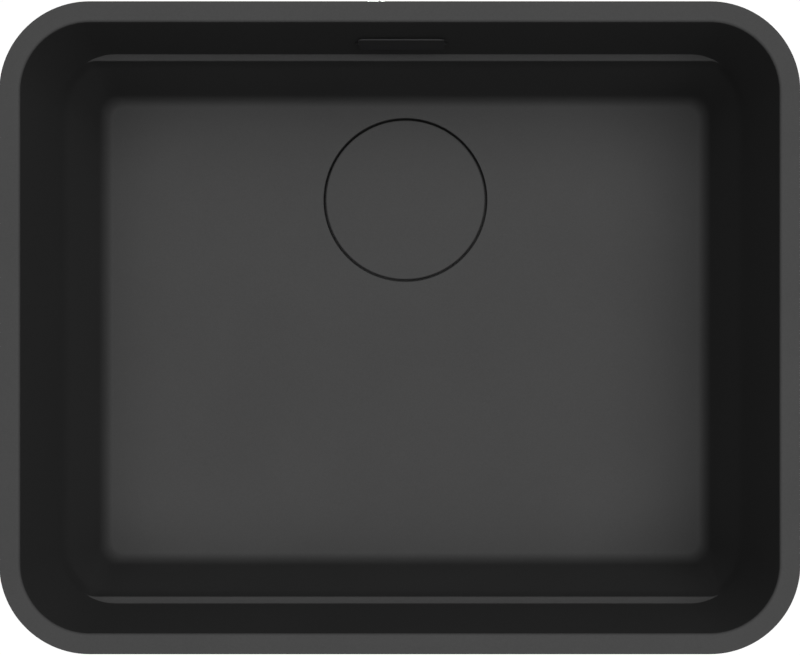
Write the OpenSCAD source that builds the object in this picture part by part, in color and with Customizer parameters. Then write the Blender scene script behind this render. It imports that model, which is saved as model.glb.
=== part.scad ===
// Single-bowl kitchen sink, moulded in one piece, that hangs under a worktop.
// The origin is the centre of the rim's top face: +X right, +Y to the rear, +Z up.
// Depths are measured down from the rim's top face. All sizes are in millimetres.

/* [Rim] */
// Length over the rim, left to right
rim_length = 540; // [480:1:640]
// Depth over the rim, front to rear
rim_depth = 440; // [400:1:520]
// Corner radius of the rim's outer edge
rim_corner_r = 61; // [56:0.5:80]
// Width of the flat face of the rim
rim_face_w = 12; // [11:0.5:16]
// Rounding where the rim turns down into the bowl
rim_round_r = 3; // [1:0.5:5]
// Thickness of the rim band
rim_t = 12; // [10:0.5:16]
// Bevel along the rim's outer edges
rim_bevel = 0.8; // [0.3:0.1:1.5]

/* [Bowl] */
// Depth from the rim's face to the floor
bowl_depth = 200; // [170:1:240]
// How far each wall leans in between the rim and the floor
wall_lean = 5; // [3:0.5:8]
// Thickness of the walls
wall_t = 7; // [6:0.25:7.5]
// Thickness of the floor
floor_t = 8; // [7:0.5:11]
// Radius of the fillet between the walls and the floor
floor_fillet_r = 18; // [10:1:22]
// Corner radius of the walls where they meet the floor fillet
floor_corner_r = 30; // [28:1:36]
// Depth of the ledge on the front and rear walls
ledge_depth = 94; // [88:1:120]
// Width of the ledge
ledge_w = 5; // [3:0.5:8]
// Corner radius of the walls at the ledge
ledge_corner_r = 41; // [37:0.5:45]

/* [Fixing arms] */
// Distance of each arm's pivot from the rim's outer edge
arm_inset = 4.8; // [4.6:0.1:6]
// Length of an arm from its pivot to its tip
arm_length = 58; // [40:1:80]
// Thickness of an arm
arm_t = 3; // [2:0.5:4]
// Diameter of the hole for the worktop screw
arm_hole_d = 4.5; // [3.5:0.1:5]
// How far the hole for the worktop screw stands from the arm's tip
arm_hole_inset = 10; // [7:0.5:20]
// Distance of the pivots on the left and right from the middle
arm_side_y = 110; // [80:1:120]
// Distance of the pivots on the front and rear from the middle
arm_end_x = 160; // [140:1:165]
// Length of the pad moulded under the rim at each pivot
arm_pad_l = 28; // [20:1:40]
// Height of that pad below the rim band
arm_pad_h = 3; // [2:0.5:5]
// Diameter of the pivot screw
pivot_screw_d = 5; // [4:0.5:5]
// Thickness of the spring washer under the screw's head
washer_t = 1.2; // [0.8:0.1:2]
// Outer diameter of the threaded insert
insert_d = 6.4; // [6:0.1:6.8]
// Length of the threaded insert
insert_l = 9.5; // [7:0.5:10.5]

/* [Drain] */
// Distance of the drain behind the middle of the bowl
drain_y = 105.5; // [60:0.5:115]
// Diameter of the drain cover
cover_d = 129; // [122:0.5:140]
// Thickness of the drain cover
cover_t = 7; // [5:0.5:9]
// Gap round the drain cover
cover_gap = 1.8; // [1:0.1:3]
// Free height for the water under the cover ring
water_h = 1.9; // [1.5:0.1:5]
// Diameter of the hole for the waste
waste_hole_d = 90; // [86:0.5:96]
// Outer diameter of the waste flange
waste_flange_d = 114; // [110:0.5:120]
// Depth of the dish in the waste flange
dish_h = 23; // [20:0.5:30]
// Thickness of the floor under the recess
drain_floor_t = 14; // [10:0.5:18]
// Width of the moulded wall round the recess
drain_wall_t = 8.7; // [6:0.1:12]
// Sheet thickness of the waste flange and the cover ring
sheet_t = 1; // [0.8:0.1:1.5]
// Sheet thickness of the strainer basket
basket_t = 0.8; // [0.6:0.1:1.2]
// Depth of the strainer basket
basket_h = 16.4; // [12:0.2:17]
// Diameter of the holes in the basket
basket_hole_d = 3.2; // [2:0.1:4]

/* [Waste] */
// Outer diameter of the waste body's cup
cup_d = 98; // [94:0.5:108]
// Height of the waste body
cup_h = 56.5; // [54:0.5:75]
// Thickness of the plastic walls
plastic_t = 3; // [2:0.25:4]
// Outer diameter of the outlet pipe
pipe_d = 40; // [38:0.5:42]
// Wall of the outlet pipe
pipe_t = 2; // [1.5:0.1:3]
// Outer diameter of the threads on the outlet
thread_d = 47.8; // [47:0.1:50]
// Length of the thread at the lower end of the bend
outlet_thread_l = 18; // [12:1:25]
// Radius of the bend along its middle
bend_r = 30; // [26:1:50]
// Height of the outlet's straight lower leg
outlet_leg_h = 43; // [35:1:100]
// Length of the union nut
union_nut_l = 24; // [20:0.5:30]
// Direction of the overflow spigot, anticlockwise from the right
spigot_turn = 130; // [125:1:150]

/* [Overflow] */
// Depth of the overflow slot's middle below the rim
overflow_depth = 60; // [50:1:70]
// Length of the overflow slot
overflow_slot_w = 67; // [50:1:80]
// Height of the overflow slot
overflow_slot_h = 14; // [10:0.5:18]
// Width of the overflow cover
plate_w = 61; // [45:1:75]
// Height of the overflow cover
plate_h = 30; // [20:0.5:34]
// Thickness of the overflow cover
plate_t = 1.3; // [1:0.1:2.5]
// Gap between the overflow cover and the wall
plate_gap = 0.8; // [0.5:0.1:2]
// How far the pad behind the slot stands out of the wall
overflow_pad_t = 3.5; // [2:0.5:5]
// Thickness of the overflow gasket
gasket_t = 2; // [1:0.5:4]
// How far the spigot on the overflow body stands to the left
overflow_spigot_x = 22; // [0:1:25]
// Outer diameter of the hose spigots
spigot_d = 19.6; // [16:0.2:22]
// Wall of the hose spigots
spigot_t = 2; // [1.5:0.1:3]
// Height of the hose ribs
hose_rib_h = 1.7; // [1:0.1:2.5]
// Spacing of the hose ribs
hose_rib_pitch = 3.2; // [2.8:0.1:5]

/* [Hidden] */
$fn = 72;
// Play of a pressed or screwed piece, all round
fit_gap = 0.05;
// Play of a piece that lifts out, and of the pivots' shafts
seat_gap = 0.1;
pivot_play = 0.05;
// Distance that a swinging arm keeps from the bowl
arm_clear = 0.35;

// Half sizes of the rim and of the bowl's mouth
rim_x = rim_length / 2;
rim_y = rim_depth / 2;
rim_w = rim_face_w + rim_round_r;
mouth_x = rim_x - rim_w;
mouth_y = rim_y - rim_w;
mouth_r = rim_corner_r - rim_w;
fillet_depth = bowl_depth - floor_fillet_r;
lean_angle = atan(wall_lean / bowl_depth);
corner_steps = 12;
under_rim_r = 2.5;

// Arms: the pad's underside, the space between pivot and wall, and the stack under the pad
pad_depth = rim_t + arm_pad_h;
pivot_x = rim_x - arm_inset;
pivot_y = rim_y - arm_inset;
arm_in = rim_w - wall_t - arm_inset + lean(pad_depth) - arm_clear;
arm_out = arm_inset - 0.3;
eye_r = pivot_screw_d / 2 + 2.9;
washer_r = pivot_screw_d / 2 + 2.2;
arm_top = pad_depth + seat_gap;
washer_top = arm_top + arm_t + seat_gap;
head_top = washer_top + washer_t;
head_h = 3.5;
head_across = 8;
// Each arm's pivot, the turn of its outward side from the rear, and 1 where it is mirrored
REAR_LEFT = [-arm_end_x, pivot_y, 0, 0];
REAR_RIGHT = [arm_end_x, pivot_y, 0, 1];
FRONT_RIGHT = [arm_end_x, -pivot_y, 180, 0];
FRONT_LEFT = [-arm_end_x, -pivot_y, 180, 1];
RIGHT_REAR = [pivot_x, arm_side_y, -90, 0];
RIGHT_FRONT = [pivot_x, -arm_side_y, -90, 1];
LEFT_FRONT = [-pivot_x, -arm_side_y, 90, 0];
LEFT_REAR = [-pivot_x, arm_side_y, 90, 1];
ARM_PLACES = [
    REAR_LEFT, REAR_RIGHT, FRONT_RIGHT, FRONT_LEFT, RIGHT_REAR, RIGHT_FRONT, LEFT_FRONT, LEFT_REAR
];

// Drain, from the top down: cover, ring, feet, flange, seal, recess floor
cover_r = cover_d / 2;
flange_seal_t = 1;
ring_top = bowl_depth + cover_t;
feet_top = ring_top + sheet_t;
flange_top = feet_top + water_h + seat_gap;
recess_floor = flange_top + sheet_t + flange_seal_t;
recess_r = cover_r + cover_gap;
drain_bottom = recess_floor + drain_floor_t;
drain_boss_r = recess_r + drain_wall_t;
waste_r = waste_hole_d / 2;
flange_r = waste_flange_d / 2;
// The flange's dish: a shoulder for the basket's lip, a cone and a sunk hub
shoulder_drop = 2.2;
shoulder = flange_top + shoulder_drop;
step_r = waste_r + 1.8;
dish_top_r = waste_r - 0.8 - sheet_t;
dish_low_r = dish_top_r - 3;
dish_floor = flange_top + dish_h;
hub_r = 12;
hub_floor = dish_floor + 3;
counterbore_r = step_r + sheet_t + 0.3;
centre_screw_d = 5.9;
// Basket
lip_z = shoulder - seat_gap;
basket_floor = lip_z + basket_h;
basket_top_r = dish_top_r - 0.6;
basket_low_r = basket_top_r - 6.6;
knob_r = 11;
knob_top = feet_top + 1;
knob_h = 5;
stem_r = 4;
// Waste body
body_seal_t = 1.5;
body_top = drain_bottom + body_seal_t;
body_bottom = body_top + cup_h;
cup_r = cup_d / 2;
cup_in_r = cup_r - plastic_t;
body_flange_r = cup_r + 9;
pipe_r = pipe_d / 2;
bore_r = pipe_r - pipe_t;
thread_r = thread_d / 2;
outlet_depth = body_bottom - plastic_t - bore_r - 1;
stub_end = cup_r + 20;
socket_l = 15;
nut_start = stub_end - union_nut_l / 2;
nut_end = nut_start + union_nut_l;
nut_lip = 3;
bend_start = nut_end + 4;
leg_y = bend_start + bend_r;
leg_top = outlet_depth + bend_r;
leg_bottom = leg_top + outlet_leg_h;
column_top = hub_floor + sheet_t + seat_gap;
column_r = 9;
insert_top = column_top + 4;
centre_insert_h = 10;
// Overflow
pad_y = mouth_y - lean(overflow_depth) + wall_t + overflow_pad_t;
overflow_screw_x = overflow_slot_w / 2 + 10.5;
overflow_flange_w = 2 * overflow_screw_x + 12;
overflow_flange_h = overflow_slot_h + 16;
box_w = overflow_slot_w + 9;
box_h = overflow_slot_h + 8;
box_back = gasket_t + plastic_t + 12;
box_wall = 2.4;
spigot_r = spigot_d / 2;
spigot_bore_r = spigot_r - spigot_t;
overflow_spigot_y = box_back - 5.5;
funnel_h = 13;
spigot_l = 18;
overflow_screw_r = 2;
// Hose, from the overflow spigot to the waste spigot
hose_sides = 8;
cuff_l = 20;
cuff_gap = 2;
// A flat-sided bore clears a round spigot when its corners stand further out
corner_out = 1 / cos(180 / hose_sides);
cuff_bore_r = (spigot_r + seat_gap) * corner_out;
cuff_r = cuff_bore_r + 1.9;
hose_valley_r = cuff_bore_r + 0.1;
hose_crest_r = hose_valley_r + hose_rib_h;
hose_bore_r = hose_valley_r - 1.3;
waste_spigot_depth = body_top + 20.5;
spigot_way = [cos(spigot_turn), sin(spigot_turn), 0];
hose_start = [-overflow_spigot_x, pad_y + overflow_spigot_y,
              -(overflow_depth + box_h / 2 + funnel_h + cuff_gap)];
hose_end = [0, drain_y, -waste_spigot_depth] + spigot_way * (cup_r + cuff_gap);
bend_from = hose_start - [0, 0, cuff_l];
bend_to = hose_end + spigot_way * cuff_l;
// How far the hose runs on before it bends, as a share of the way that it has to come back
top_pull_share = 0.95;
top_pull = [0, 0, -top_pull_share * (bend_from[1] - bend_to[1])];
bottom_pull = spigot_way * 90;

// Forms of the bowl

// How far the walls have leaned in at a depth
function lean(d) = wall_lean * d / bowl_depth;

// Corner radius of the bowl's inner form at a depth
function corner_r(d) =
    lookup(d, [[0, mouth_r], [ledge_depth, ledge_corner_r], [fillet_depth, floor_corner_r]]);

// One point on the corner in the quarter sx, sy
function corner_point(x, y, r, a, sx, sy, z) =
    [sx * (x - r + r * cos(a)), sy * (y - r + r * sin(a)), z];

// A rounded rectangle of half sizes x and y at height z. The front and rear are cut flat by cut.
function ring(x, y, r, z, cut = 0) =
    let (sweep = cut > 0 ? asin((r - cut) / r) : 90,
         up = [for (i = [0:corner_steps]) sweep * i / corner_steps],
         down = [for (i = [corner_steps:-1:0]) sweep * i / corner_steps])
    concat(
        [for (a = up) corner_point(x, y, r, a, 1, 1, z)],
        [for (a = down) corner_point(x, y, r, a, -1, 1, z)],
        [for (a = up) corner_point(x, y, r, a, -1, -1, z)],
        [for (a = down) corner_point(x, y, r, a, 1, -1, z)]
    );

// The bowl's inner form at a depth, grown outwards; cut by the ledge below it
function wall_ring(d, grow, cut = 0) =
    ring(mouth_x - lean(d) + grow, mouth_y - lean(d) + grow, corner_r(d) + grow, -d, cut);

function rim_ring(d, inset) = ring(rim_x - inset, rim_y - inset, rim_corner_r - inset, -d);

// Triangles of the band between ring k and the next, seen from outside
function band(n, k, flip = false) =
    [for (i = [0:n - 1]) let (a = k * n + i, b = k * n + (i + 1) % n, c = b + n, d = a + n)
        each flip ? [[a, c, b], [a, d, c]] : [[a, b, c], [a, c, d]]];

// A closed solid through rings listed from the top down
module loft(rings) {
    n = len(rings[0]);
    last = len(rings) - 1;
    polyhedron(
        points = [for (r = rings) each r],
        faces = concat(
            [[for (i = [n - 1:-1:0]) i]],
            [for (k = [0:last - 1]) each band(n, k)],
            [[for (i = [0:n - 1]) last * n + i]]
        )
    );
}

// Outside: rim band, blend under the rim, wall, step behind the ledge, round bottom edge
module bowl_outside() {
    step_top = ledge_depth + 2;
    step_bottom = ledge_depth + wall_t + 3;
    loft(concat(
        [rim_ring(0, rim_bevel), rim_ring(rim_bevel, 0),
         rim_ring(rim_t - rim_bevel, 0), rim_ring(rim_t, rim_bevel)],
        [for (a = [0:30:90])
            wall_ring(rim_t + under_rim_r * (1 - cos(a)), wall_t + under_rim_r * (1 - sin(a)))],
        [wall_ring(step_top, wall_t), wall_ring(step_bottom, wall_t, ledge_w)],
        [for (a = [0:15:90])
            wall_ring(fillet_depth + (floor_fillet_r + floor_t) * sin(a),
                      wall_t - (floor_fillet_r + wall_t) * (1 - cos(a)), ledge_w)]
    ));
}

// Space above the ledge, with the rounded edge of the mouth
module upper_cavity() {
    above = 1;
    loft(concat(
        [ring(mouth_x + rim_round_r, mouth_y + rim_round_r, mouth_r + rim_round_r, above)],
        [for (a = [0:22.5:90])
            wall_ring(rim_round_r * (1 - cos(a)), rim_round_r * (1 - sin(a)))],
        [wall_ring(ledge_depth, 0)]
    ));
}

// Space below the ledge, down to the filleted floor
module lower_cavity() {
    into_upper = 1;
    loft(concat(
        [[for (p = wall_ring(ledge_depth, 0, ledge_w)) p + [0, 0, into_upper]]],
        [wall_ring(ledge_depth, 0, ledge_w)],
        [for (a = [0:15:90])
            wall_ring(fillet_depth + floor_fillet_r * sin(a), -floor_fillet_r * (1 - cos(a)), ledge_w)]
    ));
}

// Helpers

module at_arm(place) {
    translate([place[0], place[1], 0]) rotate(place[2]) mirror([place[3], 0, 0]) children();
}

module at_drain() {
    translate([0, drain_y, 0]) children();
}

// Origin on the rear face of the overflow pad, at the slot's middle
module at_overflow() {
    translate([0, pad_y, -overflow_depth]) children();
}

// Extrudes an outline in X and Z from y0 back to y1
module along_y(y0, y1) {
    translate([0, y1, 0]) rotate([90, 0, 0]) linear_extrude(y1 - y0) children();
}

// Turns a profile of radius and height about an axis along +Y
module turned_y() {
    rotate([-90, 0, 0]) rotate_extrude() children();
}

module rounded_plate(w, h, r) {
    square([w - 2 * r, h], center = true);
    square([w, h - 2 * r], center = true);
    for (sx = [-1, 1], sy = [-1, 1])
        translate([sx * (w / 2 - r), sy * (h / 2 - r)]) circle(r = r);
}

module slot_outline(w, h) {
    square([w - h, h], center = true);
    for (sx = [-1, 1]) translate([sx * (w - h) / 2, 0]) circle(d = h);
}

module ring_plate(outer_r, inner_r, top, t) {
    translate([0, 0, -top - t]) linear_extrude(t) difference() {
        circle(r = outer_r);
        circle(r = inner_r);
    }
}

// Bowl

module arm_pad() {
    b = arm_pad_l / 2;
    inner = -(arm_in + arm_clear + 3);
    outer = arm_inset - 0.5;
    chamfer = 2;
    into_rim = 4;
    translate([0, 0, -pad_depth]) linear_extrude(arm_pad_h + into_rim) polygon([
        [-b, inner], [b, inner], [b, outer - chamfer], [b - chamfer, outer],
        [chamfer - b, outer], [-b, outer - chamfer]
    ]);
}

// Hole for the insert, and the relief for the arm's eye and the screw's head
module arm_pad_cuts() {
    relief_h = head_top + head_h + 3 - pad_depth;
    translate([0, 0, -pad_depth]) cylinder(d = insert_d + 2 * fit_gap, h = insert_l + fit_gap);
    translate([0, 0, -pad_depth - relief_h]) cylinder(r = eye_r + arm_clear, h = relief_h);
}

module drain_boss() {
    buried = bowl_depth + floor_t / 2;
    shoulder_z = bowl_depth + floor_t;
    spread = 6;
    rotate_extrude() polygon([
        [0, -buried], [drain_boss_r + spread, -buried], [drain_boss_r + spread, -shoulder_z],
        [drain_boss_r, -shoulder_z - spread], [drain_boss_r, -drain_bottom], [0, -drain_bottom]
    ]);
}

module drain_cuts() {
    above = 1;
    translate([0, 0, -recess_floor]) cylinder(r = recess_r, h = recess_floor - bowl_depth + above);
    translate([0, 0, -shoulder - sheet_t - 0.3])
        cylinder(r = counterbore_r, h = shoulder + sheet_t + 0.3 - recess_floor + above);
    translate([0, 0, -drain_bottom - above])
        cylinder(r = waste_r, h = drain_bottom - recess_floor + 2 * above);
}

module overflow_pad() {
    buried = overflow_pad_t + wall_t - 3;
    along_y(-buried, 0) rounded_plate(overflow_flange_w + 5, overflow_flange_h + 7, 6);
}

module overflow_cuts() {
    through = overflow_pad_t + wall_t + 6;
    along_y(-through, 1) slot_outline(overflow_slot_w, overflow_slot_h);
    for (sx = [-1, 1]) translate([sx * overflow_screw_x, 0, 0])
        along_y(-6.5, 1) circle(r = overflow_screw_r + 0.8 + fit_gap);
}

module bowl() {
    color("#343435") difference() {
        union() {
            bowl_outside();
            for (place = ARM_PLACES) at_arm(place) arm_pad();
            at_overflow() overflow_pad();
            at_drain() drain_boss();
        }
        upper_cavity();
        lower_cavity();
        for (place = ARM_PLACES) at_arm(place) arm_pad_cuts();
        at_overflow() overflow_cuts();
        at_drain() drain_cuts();
    }
}

// Fixing arms

// Brass sleeves with a waist that keys into the moulding
module rim_inserts() {
    r = insert_d / 2;
    waist = 0.5;
    bore = pivot_screw_d / 2 + fit_gap;
    color("#b8923c") for (place = ARM_PLACES) at_arm(place) translate([0, 0, -pad_depth])
        rotate_extrude() polygon([
            [bore, 0], [r, 0], [r, insert_l * 0.35], [r - waist, insert_l * 0.4],
            [r - waist, insert_l * 0.6], [r, insert_l * 0.65], [r, insert_l], [bore, insert_l]
        ]);
}

module arm_screws() {
    engaged = insert_l - 1.5;
    color("#a8abad") for (place = ARM_PLACES) at_arm(place) {
        translate([0, 0, -head_top - head_h])
            cylinder(d = head_across / cos(30), h = head_h, $fn = 6);
        translate([0, 0, -head_top - 1])
            cylinder(d = pivot_screw_d, h = head_top + 1 - pad_depth + engaged);
    }
}

module arm_washers() {
    color("#9c9fa1") for (place = ARM_PLACES) at_arm(place)
        ring_plate(washer_r, pivot_screw_d / 2 + seat_gap, washer_top, washer_t);
}

// A flat steel arm with a round eye, a rounded tip and a hole for the worktop screw
module fixing_arm(place) {
    tip_r = (arm_in + arm_out) / 2;
    middle = (arm_out - arm_in) / 2;
    color("#b4b7ba") at_arm(place) translate([0, 0, -arm_top - arm_t]) linear_extrude(arm_t)
        difference() {
            union() {
                circle(r = eye_r);
                translate([0, -arm_in]) square([arm_length - tip_r, arm_in + arm_out]);
                translate([arm_length - tip_r, middle]) circle(r = tip_r);
            }
            circle(r = pivot_screw_d / 2 + pivot_play);
            translate([arm_length - arm_hole_inset, middle]) circle(d = arm_hole_d);
        }
}

// Drain cover

module drain_cover() {
    edge = 1.2;
    underside_edge = 0.8;
    color("#363637") at_drain() rotate_extrude() polygon(concat(
        [[0, -ring_top], [0, -bowl_depth]],
        [for (a = [0:22.5:90])
            [cover_r - edge * (1 - sin(a)), -bowl_depth - edge * (1 - cos(a))]],
        [[cover_r, -ring_top + underside_edge], [cover_r - underside_edge, -ring_top]]
    ));
}

// A pressed ring under the cover, turned down at its inner edge
module cover_ring() {
    outer_r = flange_r - 3;
    inner_r = outer_r - 13;
    color("#b9bcbe") at_drain() rotate_extrude() polygon([
        [outer_r, -ring_top], [inner_r, -ring_top], [inner_r, -feet_top - 0.6],
        [inner_r + sheet_t, -feet_top - 0.6], [inner_r + sheet_t, -feet_top], [outer_r, -feet_top]
    ]);
}

module cover_feet() {
    foot_r = 3.8;
    color("#1d1d1e") at_drain() for (turn = [45:90:315]) rotate(turn)
        translate([step_r + foot_r + 0.4, 0, -feet_top - water_h]) cylinder(r = foot_r, h = water_h);
}

// Strainer basket

module basket_cup() {
    lip_r = step_r - 0.9;
    wall_hole_z = (lip_z + basket_floor) / 2;
    color("#c2c5c7") at_drain() difference() {
        rotate_extrude() polygon([
            [lip_r, -lip_z + 1.4], [lip_r - basket_t, -lip_z + 1.4],
            [lip_r - basket_t, -lip_z + basket_t],
            [basket_top_r - basket_t, -lip_z + basket_t],
            [basket_low_r - basket_t, -basket_floor + basket_t],
            [3.1, -basket_floor + basket_t], [3.1, -basket_floor],
            [basket_low_r, -basket_floor], [basket_top_r, -lip_z], [lip_r, -lip_z]
        ]);
        for (row = [[14, 10], [21, 15], [28, 20]], i = [0:row[1] - 1]) rotate(360 * i / row[1])
            translate([row[0], 0, -basket_floor - 1]) cylinder(d = basket_hole_d, h = basket_t + 2);
        for (i = [0:17]) rotate(20 * i) translate([basket_low_r - 6, 0, -wall_hole_z])
            rotate([0, 90, 0]) cylinder(d = basket_hole_d + 1, h = 15);
    }
}

// Turned knob on a stem, with a waist under the head and a dished top
module basket_knob() {
    top = -knob_top;
    color("#c8cbcd") at_drain() rotate_extrude() polygon([
        [0, top - 1.2], [knob_r - 4, top - 0.9], [knob_r - 2, top], [knob_r - 0.8, top],
        [knob_r, top - 0.8], [knob_r, top - 2.6], [stem_r + 1, top - knob_h], [stem_r, top - knob_h - 2],
        [stem_r, -basket_floor + basket_t + 1.5], [stem_r + 2.5, -basket_floor + basket_t + fit_gap],
        [2.95, -basket_floor + basket_t + fit_gap], [2.95, -basket_floor - 3.2], [0, -basket_floor - 3.2]
    ]);
}

module basket_nut() {
    color("#aeb1b3") at_drain() translate([0, 0, -basket_floor - 3 - fit_gap]) difference() {
        cylinder(d = 10 / cos(30), h = 3, $fn = 6);
        translate([0, 0, -1]) cylinder(r = 2.95 + fit_gap, h = 5);
    }
}

// Rubber ring under the basket, whose lip closes the dish
module basket_seal() {
    dish_r = dish_top_r - 3 * (basket_floor - 1.6 - shoulder) / (dish_floor - shoulder);
    lip_r = dish_r - 0.35;
    top = -basket_floor - fit_gap;
    color("#1b1b1c") at_drain() rotate_extrude() polygon([
        [basket_low_r - 5.5, top], [basket_low_r - 5.5, top - 1.9], [basket_low_r + 1.6, top - 1.9],
        [lip_r, -basket_floor + 1.6], [lip_r - 0.3, -basket_floor + 2.4], [basket_low_r + 0.9, top]
    ]);
}

// Waste

// Pressed flange: rim, shoulder, cone, spoked floor and sunk hub
module waste_flange() {
    t = sheet_t;
    hole_r = centre_screw_d / 2 + seat_gap;
    spokes = 6;
    gap_angle = 360 / spokes - 14;
    color("#bcbfc1") at_drain() difference() {
        rotate_extrude() polygon([
            [flange_r, -flange_top], [step_r, -flange_top], [step_r - 0.6, -shoulder],
            [dish_top_r, -shoulder], [dish_low_r, -dish_floor], [hub_r + 2, -dish_floor],
            [hub_r, -hub_floor], [hole_r, -hub_floor], [hole_r, -hub_floor - t],
            [hub_r + t, -hub_floor - t], [hub_r + 2 + t, -dish_floor - t],
            [dish_low_r + t, -dish_floor - t],
            [dish_top_r + t, -shoulder - t], [step_r - 0.6 + t, -shoulder - t],
            [step_r + t, -flange_top - t], [flange_r, -flange_top - t]
        ]);
        for (i = [0:spokes - 1]) rotate(360 * i / spokes + 7) translate([0, 0, -dish_floor - t - 1])
            rotate_extrude(angle = gap_angle)
                translate([hub_r + 6, 0]) square([dish_low_r - hub_r - 10, t + 2]);
    }
}

module flange_seal() {
    color("#1b1b1c") at_drain()
        ring_plate(flange_r, counterbore_r + 0.3, recess_floor - flange_seal_t, flange_seal_t);
}

module centre_screw() {
    tip = insert_top + centre_insert_h - 1;
    color("#c2c5c7") at_drain() {
        translate([0, 0, -hub_floor]) difference() {
            cylinder(r = 6.5, h = 2.6);
            translate([-0.7, -8, 1.4]) cube([1.4, 16, 2]);
        }
        translate([0, 0, -tip]) cylinder(d = centre_screw_d, h = tip - hub_floor + 1);
    }
}

module body_seal() {
    color("#1b1b1c") at_drain() ring_plate(body_flange_r, cup_in_r, drain_bottom, body_seal_t);
}

module waste_spigot(r, from, to) {
    translate([0, 0, -waste_spigot_depth]) rotate(spigot_turn) translate([from, 0, 0])
        rotate([0, 90, 0]) cylinder(r = r, h = to - from);
}

module outlet_bore(r, from, to) {
    translate([0, from, -outlet_depth]) rotate([-90, 0, 0]) cylinder(r = r, h = to - from);
}

// Web between the waste body's cup and its flange
module gusset() {
    t = 2.4;
    reach = 6;
    under_flange = body_top + 3;
    rotate([90, 0, 0]) translate([0, 0, -t / 2]) linear_extrude(t) polygon([
        [cup_r - 1, -under_flange], [cup_r + reach, -under_flange],
        [cup_r, -under_flange - 2.5 * reach], [cup_r - 1, -under_flange - 2.5 * reach]
    ]);
}

// Moulded cup with a threaded outlet to the rear, a hose spigot and a ribbed centre column
module waste_body() {
    inner_floor = body_bottom - plastic_t;
    edge = 6;
    rib_t = 2.4;
    rib_h = 20;
    gussets = 10;
    color("#26282a") at_drain() difference() {
        union() {
            difference() {
                union() {
                    for (i = [1:gussets])
                        rotate(spigot_turn + 360 * i / (gussets + 1)) gusset();
                    rotate_extrude() polygon([
                        [0, -body_bottom], [cup_r - edge, -body_bottom], [cup_r, -body_bottom + edge],
                        [cup_r, -body_top - 6], [body_flange_r, -body_top - 4],
                        [body_flange_r, -body_top], [0, -body_top]
                    ]);
                    outlet_bore(thread_r, cup_r - 12, stub_end);
                    waste_spigot(spigot_r, cup_r - 5, cup_r + spigot_l);
                }
                rotate_extrude() polygon([
                    [0, -inner_floor], [cup_in_r - edge, -inner_floor], [cup_in_r, -inner_floor + edge],
                    [cup_in_r, -body_top + 1], [0, -body_top + 1]
                ]);
            }
            translate([0, 0, -inner_floor - 1])
                cylinder(r = column_r, h = inner_floor + 1 - column_top);
            for (turn = [-90, 30, 150]) rotate(turn) translate([column_r - 2, -rib_t / 2, -inner_floor - 1])
                cube([cup_in_r + 1 - column_r + 2, rib_t, rib_h + 1]);
        }
        outlet_bore(bore_r, cup_in_r - 12, stub_end + 1);
        outlet_bore(pipe_r + seat_gap, stub_end - socket_l, stub_end + 1);
        waste_spigot(spigot_bore_r, cup_in_r - 8, cup_r + spigot_l + 1);
        translate([0, 0, -insert_top - centre_insert_h - 2])
            cylinder(d = centre_screw_d + 2 * seat_gap, h = insert_top + centre_insert_h + 2);
        translate([0, 0, -insert_top - centre_insert_h])
            cylinder(r = 6 + fit_gap, h = centre_insert_h, $fn = 6);
    }
}

module centre_insert() {
    color("#b8923c") at_drain() translate([0, 0, -insert_top - centre_insert_h + fit_gap]) difference() {
        cylinder(r = 6, h = centre_insert_h - 2 * fit_gap, $fn = 6);
        translate([0, 0, -1]) cylinder(d = centre_screw_d + 2 * fit_gap, h = centre_insert_h + 2);
    }
}

// Outlet

// Tapered rubber ring between the stub, the pipe and the nut
module outlet_seal() {
    color("#1b1b1c") at_drain() translate([0, 0, -outlet_depth]) turned_y() polygon([
        [pipe_r + seat_gap, stub_end + fit_gap], [thread_r - 0.6, stub_end + fit_gap],
        [pipe_r + 1.2, nut_end - nut_lip - 0.4], [pipe_r + seat_gap, nut_end - nut_lip - 0.4]
    ]);
}

// Union nut with grip ribs round it
module outlet_nut() {
    outer_r = thread_r + 3.6;
    grips = 12;
    color("#2b2d2f") at_drain() translate([0, 0, -outlet_depth]) {
        turned_y() polygon([
            [thread_r + seat_gap, nut_start], [outer_r, nut_start], [outer_r, nut_end - 4],
            [outer_r - 3, nut_end], [pipe_r + seat_gap, nut_end], [pipe_r + seat_gap, nut_end - nut_lip],
            [pipe_r + 1.5, nut_end - nut_lip], [thread_r + seat_gap, stub_end]
        ]);
        for (i = [0:grips - 1]) rotate([0, 360 * i / grips, 0])
            translate([-1.5, nut_start, outer_r - 0.5]) cube([3, union_nut_l - 5, 2]);
    }
}

// Pipe that leaves the nut to the rear, turns down and ends in a thread for a trap
module outlet_bend() {
    start = stub_end - socket_l + 0.5;
    collar_h = 3;
    color("#26282a") at_drain() difference() {
        union() {
            outlet_bore(pipe_r, start, bend_start);
            translate([0, bend_start, -leg_top]) rotate([90, 0, 90])
                rotate_extrude(angle = 90) translate([bend_r, 0]) circle(r = pipe_r);
            translate([0, leg_y, -leg_bottom]) cylinder(r = pipe_r, h = outlet_leg_h);
            translate([0, leg_y, -leg_bottom]) cylinder(r = thread_r, h = outlet_thread_l);
            translate([0, leg_y, -leg_bottom + outlet_thread_l])
                cylinder(r = thread_r + 1.4, h = collar_h);
        }
        outlet_bore(bore_r, start - 1, bend_start);
        translate([0, bend_start, -leg_top]) rotate([90, 0, 90])
            rotate_extrude(angle = 90) translate([bend_r, 0]) circle(r = bore_r);
        translate([0, leg_y, -leg_bottom - 1]) cylinder(r = bore_r, h = outlet_leg_h + 1);
    }
}

// Overflow

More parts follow.
